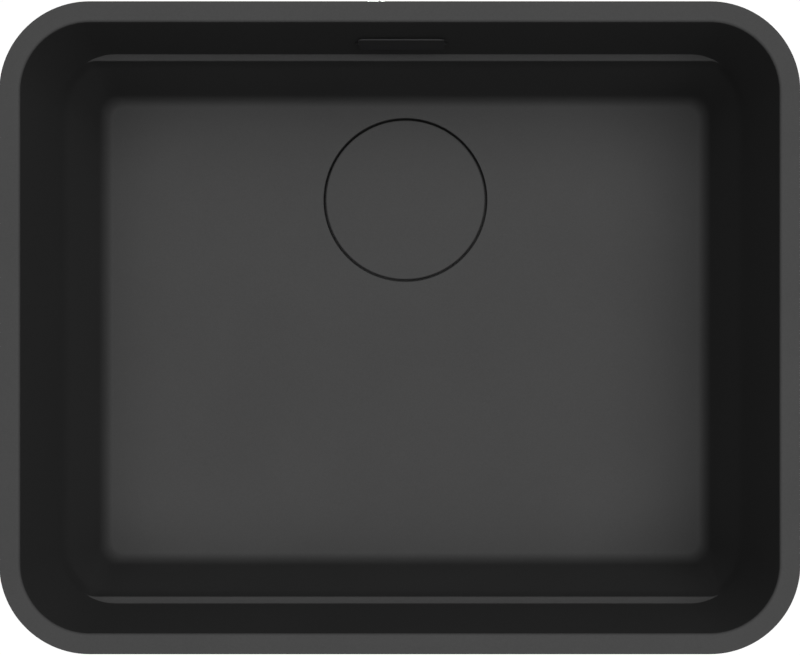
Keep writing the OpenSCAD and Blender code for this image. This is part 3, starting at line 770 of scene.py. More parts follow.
@dataclass(frozen=True)
class Plated(Finish):
    """Plated steel with small bright crystals."""

    cloud: float = 0.012
    relief_strength: float = 0.1
    relief_depth: float = 0.00005
    crystal: float = 0.0016
    crystal_share: float = 0.4

    def wire(self, wiring: Wiring, place: bpy.types.NodeSocket) -> bpy.types.Node:
        """Builds crystals of slightly different tone.

        Args:
            wiring: the material's tree.
            place: the surface point in metres.

        Returns:
            The Principled shader.
        """
        crystals = self.effect(wiring, speckle(), Vector=place, Size=self.crystal).outputs
        tone = wiring.weigh(crystals["Tone"], self.clouds(wiring, place), self.crystal_share)
        return self.shader(wiring, tone, tone, crystals["Height"], {"Metallic": 1.0})


STONE = Composite(
    "stone_black",
    Slot.COMPOSITE,
    dark=(0.030, 0.030, 0.030),
    light=(0.035, 0.035, 0.035),
    smooth=0.5,
    rough=0.58,
)
COVER_PLASTIC = Moulding(
    "overflow_cover_black",
    Slot.OVERFLOW_PLASTIC,
    dark=(0.021, 0.021, 0.022),
    light=(0.024, 0.024, 0.024),
    smooth=0.55,
    rough=0.62,
    sheen_level=0.05,
)
BLACK_PLASTIC = Moulding(
    "waste_black",
    Slot.BLACK_PLASTIC,
    dark=(0.011, 0.012, 0.012),
    light=(0.015, 0.016, 0.016),
    smooth=0.36,
    rough=0.5,
)
HOSE_PLASTIC = Moulding(
    "hose_grey",
    Slot.HOSE_PLASTIC,
    dark=(0.024, 0.025, 0.027),
    light=(0.031, 0.033, 0.035),
    smooth=0.38,
    rough=0.5,
    relief_strength=0.1,
    dimple=0.0009,
)
RUBBER = Moulding(
    "rubber_black",
    Slot.RUBBER,
    dark=(0.007, 0.007, 0.007),
    light=(0.011, 0.011, 0.011),
    smooth=0.7,
    rough=0.85,
    relief_strength=0.3,
    dimple=0.0004,
)
STEEL = Spun(
    "steel_spun",
    Slot.STEEL,
    dark=(0.440, 0.440, 0.432),
    light=(0.496, 0.496, 0.488),
    smooth=0.24,
    rough=0.34,
)
ZINC = Plated(
    "zinc_plate",
    Slot.ZINC,
    dark=(0.368, 0.376, 0.392),
    light=(0.480, 0.488, 0.496),
    smooth=0.3,
    rough=0.48,
)
BRASS = Plated(
    "brass_turned",
    Slot.BRASS,
    dark=(0.464, 0.320, 0.136),
    light=(0.576, 0.416, 0.192),
    smooth=0.25,
    rough=0.4,
    crystal=0.0008,
)


# Pieces


class SubAssembly(ABC):
    """A group of pieces that are made and dressed together."""

    @abstractmethod
    def build(self) -> None:
        """Makes the meshes and dresses the group's CAD nodes."""

    def settle(self, piece: bpy.types.Object, body: Body, finish: Finish, *nodes: str) -> bpy.types.Object:
        """Gives a finished piece its material and its body, and hides the CAD nodes that it stands for.

        Args:
            piece: the piece, already in place.
            body: the body that it rides on.
            finish: its finish.
            *nodes: CAD nodes that it stands for.

        Returns:
            The same piece.
        """
        piece.data.materials.clear()
        piece.data.materials.append(finish.material())
        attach(piece, body.value)
        if nodes:
            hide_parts(*nodes)
        LOG.info("%s: %d faces on %s", piece.name, len(piece.data.polygons), body.value)
        return piece

    def dress(self, finish: Finish, edge: float, *nodes: str) -> None:
        """Gives CAD nodes a finish and broken edges.

        Args:
            finish: their finish.
            edge: width of their broken edges in millimetres, 0 for none.
            *nodes: names of the CAD nodes.
        """
        for node in nodes:
            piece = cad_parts[node]
            for place in piece.material_slots:
                place.material = finish.material()
            if edge > 0:
                soften(node, edge)
            LOG.info("%s: CAD node in %s", node, finish.name)


@dataclass
class Bowl(SubAssembly):
    """The moulded bowl: rim, walls with their ledge, floor, recess and overflow slot.

    The fillet is that of the outside. Inside, the run and the rise of the fillet and the foot's sizes hold.
    """

    rim_x: float = 270.0
    rim_y: float = 220.0
    rim_corner: float = 61.0
    rim_wide: float = 15.0
    rim_round: float = 2.0
    mouth_flare: float = 1.0
    rim_thick: float = 12.0
    rim_edge: float = 0.8
    spans: int = 9
    tip_steps: int = 16
    side_steps: int = 8

    depth: float = BOWL_DEPTH
    lean: float = WALL_LEAN
    wall: float = 7.0
    floor: float = 8.0
    fillet: float = 18.0
    floor_corner: float = 30.0
    step_below: float = 3.0
    step_above: float = 2.0
    neck: float = 6.0
    under_rim: float = 2.5

    fillet_run: float = 8.0
    fillet_rise: float = 18.0
    foot_lean: float = 5.5
    foot_cut: float = 1.5
    foot_corner: float = 18.0
    lean_ease: float = 0.25
    lean_steps: int = 5

    ledge_depth: float = 94.0
    ledge: float = 5.0
    ledge_corner: float = 41.0
    ledge_hollow: float = 1.0
    ledge_round: float = 1.2
    curl_start: float = 26.0
    curl_reach: float = 8.5
    curl_r: float = 16.4

    recess_r: float = 66.3
    recess_floor: float = 212.0
    recess_edge: float = 0.8
    recess_round: float = 1.0
    counterbore_r: float = 48.1
    counterbore_floor: float = 213.5
    waste_r: float = 45.0
    drain_bottom: float = 226.0
    drain_sides: int = 128
    boss_r: float = 75.0
    boss_spread: float = 6.0
    boss_edge: float = 1.2
    boss_root: float = 3.0

    pad_y: float = PAD_Y
    pad_size: tuple[float, float] = (105.0, 37.0)
    pad_corner: float = 6.0
    pad_thick: float = 7.5
    pad_edge: float = 0.6
    pad_insert_x: float = 44.0
    pad_insert_r: float = 2.85
    pad_insert_depth: float = 6.5
    slot_depth: float = SLOT_DEPTH
    slot_width: float = 67.0
    slot_height: float = 14.0
    slot_reach: float = 17.0
    slot_flat: float = 0.001
    slot_steps: int = 12

    arm_pad_depth: float = 15.0
    arm_pad_half: float = 14.0
    arm_pad_inner: tuple[float, float] = (8.0, 1.0)
    arm_pad_outer: tuple[float, float] = (4.3, 2.5)
    arm_pad_edge: float = 0.5
    arm_insert_r: float = 3.25
    arm_insert_top: float = 5.45
    relief_r: float = 5.75
    relief_bottom: float = 25.9
    arm_pivots: tuple[Pivot, ...] = (
        (-160.0, 215.2, 0.0, 0),
        (160.0, 215.2, 0.0, 1),
        (160.0, -215.2, 180.0, 0),
        (-160.0, -215.2, 180.0, 1),
        (265.2, 110.0, -90.0, 0),
        (265.2, -110.0, -90.0, 1),
        (-265.2, -110.0, 90.0, 0),
        (-265.2, 110.0, 90.0, 1),
    )

    sunk: float = 4.0
    proud: float = 1.0
    hair: float = 0.01

    def curl(self, gap: float) -> float:
        """How far the ledge's edge bends down at a distance from the side wall."""
        reach = min(max(self.curl_start - gap, 0.0), self.curl_reach)
        return self.curl_r - sqrt(self.curl_r**2 - reach**2)

    def quarter(self, x: float, y: float, radius: float, cut: float) -> Outline:
        """Corner of a ring in the rear right quarter.

        Args:
            x: half length.
            y: half depth.
            radius: corner radius.
            cut: how far the rear is cut flat.

        Returns:
            Points from the side to the rear; the ledge's edge meets the corner at a fixed index.
        """
        tip = asin((radius - max(cut, self.ledge) - self.curl(0.0)) / radius)
        turns = [tip * i / self.tip_steps for i in range(self.tip_steps + 1)]
        turns += [tip + (pi / 2 - tip) * i / self.side_steps for i in range(1, self.side_steps + 1)]
        points = [(x - radius + radius * cos(a), y - radius + radius * sin(a)) for a in turns]
        if not cut:
            return points
        return [(px, min(py, y - cut - self.curl(x - px))) for px, py in points]

    def ring(self, x: float, y: float, radius: float, z: float, cut: float = 0.0) -> Ring:
        """Rounded rectangle about the bowl's axis.

        Args:
            x: half length.
            y: half depth.
            radius: corner radius.
            z: its height.
            cut: how far the front and rear are cut flat.

        Returns:
            Its points, anticlockwise from above.
        """
        corner = self.quarter(x, y, radius, cut)
        parts = [
            np.array([(px * across, py * along, z) for px, py in corner[::step]])
            for across, along, step in ((1, 1, 1), (-1, 1, -1), (-1, -1, 1), (1, -1, -1))
        ]
        runs = []
        for part, following in zip(parts, parts[1:] + parts[:1]):
            runs.append(part)
            runs.append(np.linspace(part[-1], following[0], self.spans + 1)[1:-1])
        return np.concatenate(runs)

    def corner(self, depth: float) -> float:
        """Corner radius of the inner form at a depth.

        Args:
            depth: the depth.

        Returns:
            The radius.
        """
        depths = (0.0, self.ledge_depth, self.depth - self.fillet)
        radii = (self.rim_corner - self.rim_wide, self.ledge_corner, self.floor_corner)
        return float(np.interp(depth, depths, radii))

    def wall_ring(self, depth: float, grow: float = 0.0, cut: float = 0.0) -> Ring:
        """The inner form at a depth.

        Args:
            depth: the depth.
            grow: how far it is grown outwards.
            cut: how far it is cut flat at the front and rear.

        Returns:
            Its ring.
        """
        lean = self.lean * depth / self.depth - grow
        x = self.rim_x - self.rim_wide - lean
        y = self.rim_y - self.rim_wide - lean
        return self.ring(x, y, self.corner(depth) + grow, -depth, cut)

    def foot_ring(self, depth: float, inward: float) -> Ring:
        """The inner form near the floor, with round corners.

        Args:
            depth: the depth.
            inward: how far it is drawn in from the walls.

        Returns:
            Its ring.
        """
        lean = self.lean * depth / self.depth + inward
        x = self.rim_x - self.rim_wide - lean
        y = self.rim_y - self.rim_wide - lean - self.ledge - self.foot_cut
        return self.ring(x, y, self.foot_corner + self.foot_lean - inward, -depth)

    def rim_ring(self, depth: float, back: float) -> Ring:
        """The rim's outer edge at a depth, set back from its largest size."""
        return self.ring(self.rim_x - back, self.rim_y - back, self.rim_corner - back, -depth)

    def outer_wall(self) -> list[Ring]:
        """Skins the outside.

        Returns:
            Rings from under the floor up to the rim.
        """
        bend = self.depth - self.fillet
        under = self.fillet + self.floor
        grown = self.fillet + self.wall
        rings = [
            self.wall_ring(bend + under * sin(a), self.wall - grown * (1 - cos(a)), self.ledge)
            for a in reversed(sweep(FILLET_STEPS))
        ]
        rings.append(self.wall_ring(self.ledge_depth + self.wall + self.step_below, self.wall, self.ledge))
        rings.append(self.wall_ring(self.ledge_depth + self.step_above, self.wall))
        rings.append(self.wall_ring(self.relief_bottom + self.neck, self.wall))
        hollow = self.under_rim
        rings += [
            self.wall_ring(self.rim_thick + hollow * (1 - cos(a)), self.wall + hollow * (1 - sin(a)))
            for a in reversed(sweep(EDGE_STEPS))
        ]
        return rings

    def rim(self) -> list[Ring]:
        """Skins the rim.

        Returns:
            Rings over its outer edge and its top to the mouth.
        """
        edge = self.rim_edge
        lip = self.rim_round
        turns = sweep(EDGE_STEPS)
        rings = [self.rim_ring(self.rim_thick - edge * (1 - cos(a)), edge * (1 - sin(a))) for a in turns]
        rings += [self.rim_ring(edge * (1 - sin(a)), edge * (1 - cos(a))) for a in turns]
        rings += [
            self.wall_ring(lip * (1 - cos(a)), self.mouth_flare + lip * (1 - sin(a)))
            for a in sweep(MOUTH_STEPS)
        ]
        return rings

    def ledge_edge(self) -> list[Ring]:
        """Skins the ledge.

        Returns:
            Rings through its hollow and over its rounded edge.
        """
        hollow = self.ledge_hollow
        lip = self.ledge_round
        depth = self.ledge_depth
        turns = sweep(EDGE_STEPS)
        rings = [self.wall_ring(depth - hollow * (1 - sin(a)), 0.0, hollow * (1 - cos(a))) for a in turns]
        rings += [
            self.wall_ring(depth + lip * (1 - cos(a)), 0.0, self.ledge - lip * (1 - sin(a))) for a in turns
        ]
        return rings

    def lower_wall(self) -> list[Ring]:
        """Skins the walls under the ledge, where they begin to lean in.

        Returns:
            Rings in which the lean grows from nothing.
        """
        top = self.ledge_depth + self.ledge_round
        height = self.depth - self.fillet_rise - top
        ease = self.lean_ease
        rings = []
        for share in np.linspace(0, ease, self.lean_steps + 1)[1:]:
            depth = top + height * share
            blend = share * share / (2 * ease * (1 - ease / 2))
            plain = self.wall_ring(depth, 0.0, self.ledge)
            rings.append(plain * (1 - blend) + self.foot_ring(depth, self.foot_lean) * blend)
        return rings

    def foot(self) -> list[Ring]:
        """Skins the fillet between the walls and the floor.

        Returns:
            Rings down to the floor.
        """
        rise = self.fillet_rise
        run = self.fillet_run
        turns = [atan2(rise * sin(a), run * cos(a)) for a in sweep(FILLET_STEPS)]
        return [
            self.foot_ring(self.depth - rise * (1 - sin(a)), self.foot_lean + run * (1 - cos(a)))
            for a in turns
        ]

    def at_pivot(self, pivot: Pivot) -> Matrix:
        """Place of an arm's pivot.

        Args:
            pivot: its X and Y, the turn of its outward side in degrees, and 1 where it is mirrored.

        Returns:
            The place.
        """
        x, y, turn, mirrored = pivot
        flip = Matrix.Scale(-1, 4, (1, 0, 0)) if mirrored else Matrix.Identity(4)
        return Matrix.Translation((x, y, 0)) @ Matrix.Rotation(radians(turn), 4, "Z") @ flip

    def arm_pad(self, pivot: Pivot) -> bpy.types.Object:
        """Pad under the rim that carries one fixing arm.

        Args:
            pivot: the arm's pivot.

        Returns:
            The pad, in place.
        """
        x = self.arm_pad_half
        inner, inner_r = self.arm_pad_inner
        outer, outer_r = self.arm_pad_outer
        corners = [(-x, -inner, inner_r), (x, -inner, inner_r), (x, outer, outer_r), (-x, outer, outer_r)]
        top = self.sunk - self.rim_thick
        pad = slab("pad", eased(corners, 4), -self.arm_pad_depth, top, self.arm_pad_edge)
        return placed(pad, self.at_pivot(pivot))

    def overflow_pad(self) -> bpy.types.Object:
        """Flat pad behind the wall that the overflow body seals against."""
        pad = slab("pad", rounded_box(*self.pad_size, self.pad_corner), -self.pad_thick, 0.0, self.pad_edge)
        return placed(pad, along_y((0, self.pad_y, -self.slot_depth)))

    def boss(self) -> bpy.types.Object:
        """Thick round boss under the floor at the drain.

        Returns:
            The boss, in place.
        """
        r = self.boss_r
        under = self.depth + self.floor
        corners = [
            (0.0, -self.depth - self.sunk, 0.0),
            (0.0, -self.drain_bottom, 0.0),
            (r, -self.drain_bottom, self.boss_edge),
            (r, -under - self.boss_spread, self.boss_root),
            (r + self.boss_spread, -under, 0.0),
            (r + self.boss_spread, -self.depth - self.sunk, 0.0),
        ]
        return placed(lathe("boss", eased(corners)), on_drain())

    def drain_cutter(self) -> bpy.types.Object:
        """Recess with its eased edge, counterbore and hole for the waste.

        Returns:
            The cutter, in place.
        """
        r = self.recess_r
        edge = self.recess_edge
        top = self.proud - self.depth
        profile = [(0.0, top), (r + edge, top)]
        profile += [(r + edge * (1 - sin(a)), -self.depth - edge * (1 - cos(a))) for a in sweep(EDGE_STEPS)]
        foot = [
            (r, -self.depth - self.sunk, 0.0),
            (r, -self.recess_floor, self.recess_round),
            (0.0, -self.recess_floor, 0.0),
        ]
        profile += eased(foot)[:-1]
        profile += [
            (self.counterbore_r, -self.recess_floor),
            (self.counterbore_r, -self.counterbore_floor),
            (self.waste_r, -self.counterbore_floor),
            (self.waste_r, -self.drain_bottom - self.proud),
            (0.0, -self.drain_bottom - self.proud),
        ]
        return placed(lathe("cutter", profile, self.drain_sides), on_drain())

    def slot_cutter(self) -> bpy.types.Object:
        """Round-ended slot through the rear wall.

        Returns:
            The cutter, in place.
        """
        radius = self.slot_height / 2 - self.slot_flat
        outline = rounded_box(self.slot_width, self.slot_height, radius, self.slot_steps)
        cutter = slab("cutter", outline, -self.slot_reach, self.proud, self.hair, 1)
        return placed(cutter, along_y((0, self.pad_y, -self.slot_depth)))

    def bore(self, radius: float, low: float, high: float, place: Matrix) -> bpy.types.Object:
        """Makes a round cutter.

        Args:
            radius: its radius.
            low: its lower end on its own axis.
            high: its upper end.
            place: where it goes.

        Returns:
            The cutter, in place.
        """
        profile = [(0.0, low), (radius, low), (radius, high), (0.0, high)]
        return placed(lathe("cutter", profile, SMALL_SIDES), place)

    def insert_holes(self) -> list[bpy.types.Object]:
        """Holes for the inserts of the arms and of the overflow body.

        Returns:
            Their cutters.
        """
        low = -self.arm_pad_depth - self.hair
        holes = [
            self.bore(self.arm_insert_r, low, -self.arm_insert_top, self.at_pivot(pivot))
            for pivot in self.arm_pivots
        ]
        for x in (-self.pad_insert_x, self.pad_insert_x):
            place = along_y((x, self.pad_y, -self.slot_depth))
            holes.append(self.bore(self.pad_insert_r, -self.pad_insert_depth, self.proud, place))
        return holes

    def reliefs(self) -> list[bpy.types.Object]:
        """Reliefs in the wall beside the arms.

        Returns:
            Their cutters.
        """
        return [
            self.bore(self.relief_r, -self.relief_bottom, -self.arm_pad_depth, self.at_pivot(pivot))
            for pivot in self.arm_pivots
        ]

    def build(self) -> None:
        """Makes the bowl and takes its CAD node's place."""
        rings = self.outer_wall() + self.rim() + self.ledge_edge() + self.lower_wall() + self.foot()
        bowl = loft("sink_bowl", rings)
        pads = [self.arm_pad(pivot) for pivot in self.arm_pivots]
        combine(bowl, merged("added", [*pads, self.overflow_pad(), self.boss()]), Joining.ADD)
        combine(bowl, merged("taken", [self.drain_cutter(), self.slot_cutter()]), Joining.TAKE_AWAY)
        combine(bowl, merged("taken", self.insert_holes()), Joining.TAKE_AWAY)
        combine(bowl, merged("taken", self.reliefs()), Joining.TAKE_AWAY)
        polish(bowl)
        self.settle(bowl, Body.SINK, STONE, "bowl")


@dataclass
class DrainCover(SubAssembly):
    """The flush round cover with its pressed ring and feet."""

    radius: float = 64.5
    top: float = BOWL_DEPTH
    bottom: float = 207.0
    edge: float = 1.2
    under_edge: float = 0.8
    sides: int = 160
    ring_edge: float = 0.25
    feet_edge: float = 0.3

    def build(self) -> None:
        """Makes the cover and dresses the ring and feet."""
        corners = [
            (0.0, -self.bottom, 0.0),
            (self.radius, -self.bottom, self.under_edge),
            (self.radius, -self.top, self.edge),
            (0.0, -self.top, 0.0),
        ]
        cover = placed(lathe("drain_cover_disc", eased(corners, 6), self.sides), on_drain())
        polish(cover)
        self.settle(cover, Body.COVER, STONE, "drain_cover")
        self.dress(STEEL, self.ring_edge, "cover_ring")
        self.dress(RUBBER, self.feet_edge, "cover_feet")


@dataclass
class Strainer(SubAssembly):
    """Basket with its knob, nut and seal."""

    cup_edge: float = 0.15
    knob_edge: float = 0.3
    seal_edge: float = 0.2

    def build(self) -> None:
        """Dresses the CAD nodes of the basket."""
        self.dress(STEEL, self.cup_edge, "basket_cup", "basket_nut")
        self.dress(STEEL, self.knob_edge, "basket_knob")
        self.dress(RUBBER, self.seal_edge, "basket_seal")


@dataclass
class Waste(SubAssembly):
    """Flange, screw, seals and body, and the nut and seal of the outlet."""

    flange_edge: float = 0.25
    seal_edge: float = 0.2
    body_edge: float = 0.5
    insert_edge: float = 0.2

    def build(self) -> None:
        """Dresses the CAD nodes of the waste."""
        self.dress(STEEL, self.flange_edge, "waste_flange", "centre_screw")
        self.dress(RUBBER, self.seal_edge, "flange_seal", "body_seal", "outlet_seal")
        self.dress(BLACK_PLASTIC, self.body_edge, "waste_body", "outlet_nut")
        self.dress(BRASS, self.insert_edge, "centre_insert")


@dataclass
class OutletBend(SubAssembly):
    """Moulded bend with its parting line, collar and threaded end."""

    depth: float = 262.0
    start: float = 54.5
    socket_ease: float = 0.6
    parting_start: float = 82.0
    parting: float = 0.3
    bend_start: float = 85.0
    bend_r: float = 30.0
    bend_steps: int = 32
    bore_steps: int = 16
    bottom: float = 335.0
    pipe_r: float = 20.0
    bore_r: float = 18.0
    thread_length: float = 18.0
    crest_r: float = 23.9
    core_r: float = 22.8
    pitch: float = 2.309
    tooth_top: float = 1.25
    tooth_slope: float = 3.2
    thread_steps: int = 10
    collar_r: float = 25.3
    collar_height: float = 3.0
    collar_edge: float = 0.5
    collar_swell: tuple[tuple[float, float], ...] = ((0.0, 0.6), (0.15, 0.25), (0.5, 0.06))
    sides: int = 96
    sharp: float = 35.0

    def ring(self, y: float, depth: float, lean: float, radii: float | np.ndarray) -> Ring:
        """Ring square to the pipe.

        Args:
            y: its middle's distance from the drain's axis.
            depth: its middle's depth.
            lean: 0 where the pipe runs level, a quarter turn where it hangs.
            radii: one radius, or one for each side.

        Returns:
            Its points.
        """
        turns = np.linspace(0, tau, self.sides, endpoint=False)
        up = np.cos(turns) * radii
        across = np.sin(turns) * radii
        return np.column_stack([across, DRAIN_Y + y + up * sin(lean), -depth + up * cos(lean)])

    def level_ring(self, y: float, radii: float | np.ndarray) -> Ring:
        """Ring of the level part of the pipe."""
        return self.ring(y, self.depth, 0, radii)

    def bent_ring(self, share: float, radii: float | np.ndarray) -> Ring:
        """Ring at a share of the way round the bend.

        Args:
            share: 0 where the bend begins, 1 where it ends.
            radii: one radius, or one for each side.

        Returns:
            Its points.
        """
        turn = pi / 2 * share
        y = self.bend_start + self.bend_r * sin(turn)
        return self.ring(y, self.depth + self.bend_r * (1 - cos(turn)), turn, radii)

    def hanging_ring(self, depth: float, radii: float | np.ndarray) -> Ring:
        """Ring of the hanging part of the pipe."""
        return self.ring(self.bend_start + self.bend_r, depth, pi / 2, radii)

    def moulded(self, radius: float) -> np.ndarray:
        """Radii of a moulded round, raised where the two halves of the mould met.

        Args:
            radius: its radius elsewhere.

        Returns:
            A radius for each side.
        """
        radii = np.full(self.sides, radius)
        radii[[0, self.sides // 2]] += self.parting
        return radii

    def thread(self, rise: float) -> np.ndarray:
        """Radii of the thread, which fades out over a pitch at both ends.

        Args:
            rise: height above the thread's lower end.

        Returns:
            A radius for each side.
        """
        turns = np.linspace(0, 1, self.sides, endpoint=False)
        phase = (rise / self.pitch + turns) % 1.0
        tooth = np.clip(self.tooth_top - self.tooth_slope * np.abs(phase - 0.5), 0.0, 1.0)
        fade = min(1.0, rise / self.pitch, (self.thread_length - rise) / self.pitch)
        return self.core_r + (self.crest_r - self.core_r) * fade * tooth

    def outside(self) -> list[Ring]:
        """Skins the outer face.

        Returns:
            Rings from the socket to the end of the thread.
        """
        rings = [
            self.level_ring(self.start, self.pipe_r - self.socket_ease),
            self.level_ring(self.start + self.socket_ease, self.pipe_r),
            self.level_ring(self.parting_start, self.pipe_r),
            self.level_ring(self.parting_start + self.socket_ease, self.moulded(self.pipe_r)),
        ]
        for i in range(self.bend_steps + 1):
            rings.append(self.bent_ring(i / self.bend_steps, self.moulded(self.pipe_r)))
        top = self.bottom - self.thread_length - self.collar_height
        foot = top + self.collar_height
        swell = self.collar_r - self.pipe_r
        for out, above in self.collar_swell:
            rings.append(self.hanging_ring(top - swell * above, self.moulded(self.pipe_r + swell * out)))
        edge = self.collar_edge
        for radius, depth in (
            (self.collar_r - edge, top),
            (self.collar_r, top + edge),
            (self.collar_r, foot - edge),
        ):
            rings.append(self.hanging_ring(depth, self.moulded(radius)))
        rings.append(self.hanging_ring(foot, self.collar_r - edge))
        count = round(self.thread_length / self.pitch * self.thread_steps)
        for i in range(count + 1):
            rise = self.thread_length * (1 - i / count)
            rings.append(self.hanging_ring(self.bottom - rise, self.thread(rise)))
        return rings

    def inside(self) -> list[Ring]:
        """Skins the bore.

        Returns:
            Rings in the same order as those of the outer face.
        """
        rings = [self.level_ring(self.start, self.bore_r)]
        rings += [self.bent_ring(i / self.bore_steps, self.bore_r) for i in range(self.bore_steps + 1)]
        rings.append(self.hanging_ring(self.bottom, self.bore_r))
        return rings

    def build(self) -> None:
        """Makes the bend in place of its CAD node."""
        bend = loft("outlet_bend_moulded", self.outside() + self.inside()[::-1], hollow=True)
        polish(bend, self.sharp)
        self.settle(bend, Body.SINK, BLACK_PLASTIC, "outlet_bend")


@dataclass
class Overflow(SubAssembly):
    """Front plate on the rear wall, and the body behind it."""

    mouth_y: float = 205.0
    plate_depth: float = 56.0
    width: float = 61.0
    height: float = 30.0
    corner: float = 4.0
    thick: float = 1.3
    gap: float = 0.8
    edge: float = 0.6
    tongue_x: float = 18.5
    tongue_z: float = 6.0
    tongue_wide: float = 8.0
    tongue_thick: float = 1.4
    tongue_reach: float = 3.0
    tongue_edge: float = 0.3
    gasket_edge: float = 0.2
    body_edge: float = 0.5
    screw_edge: float = 0.25
    insert_edge: float = 0.1

    def plate(self, wall_y: float) -> bpy.types.Object:
        """Plate that stands before the wall and leans with it.

        Args:
            wall_y: the wall's place behind the middle of the plate.

        Returns:
            The plate, in place.
        """
        outline = rounded_box(self.width, self.height, self.corner, 8)
        plate = slab("overflow_plate", outline, -self.gap - self.thick, -self.gap, self.edge)
        tilt = Matrix.Rotation(-atan(WALL_LEAN / BOWL_DEPTH), 4, "X")
        upright = Matrix.Translation((0, wall_y, -self.plate_depth)) @ tilt @ Matrix.Rotation(-pi / 2, 4, "X")
        return placed(plate, upright)

    def tongues(self, back: float) -> list[bpy.types.Object]:
        """Tongues that hold the plate in the slot.

        Args:
            back: their end in the plate, measured from the pad behind the slot.

        Returns:
            The four tongues, in place.
        """
        made = []
        for x in (-self.tongue_x, self.tongue_x):
            for z in (-self.tongue_z, self.tongue_z):
                outline = rounded_box(self.tongue_wide, self.tongue_thick, self.tongue_edge, 2)
                tongue = slab("tongue", outline, back, -self.tongue_reach, self.tongue_edge, 2)
                made.append(placed(tongue, along_y((x, PAD_Y, -SLOT_DEPTH + z))))
        return made

    def build(self) -> None:
        """Makes the front plate and dresses the rest."""
        wall_y = self.mouth_y - WALL_LEAN * self.plate_depth / BOWL_DEPTH
        back = wall_y - PAD_Y - self.gap - self.thick / 2
        cover = merged("overflow_front_plate", [self.plate(wall_y), *self.tongues(back)])
        polish(cover)
        self.settle(cover, Body.OVERFLOW_FRONT, COVER_PLASTIC, "overflow_cover")
        self.dress(RUBBER, self.gasket_edge, "overflow_gasket")
        self.dress(BLACK_PLASTIC, self.body_edge, "overflow_body")
        self.dress(ZINC, self.screw_edge, "overflow_screws")
        self.dress(BRASS, self.insert_edge, "overflow_inserts")


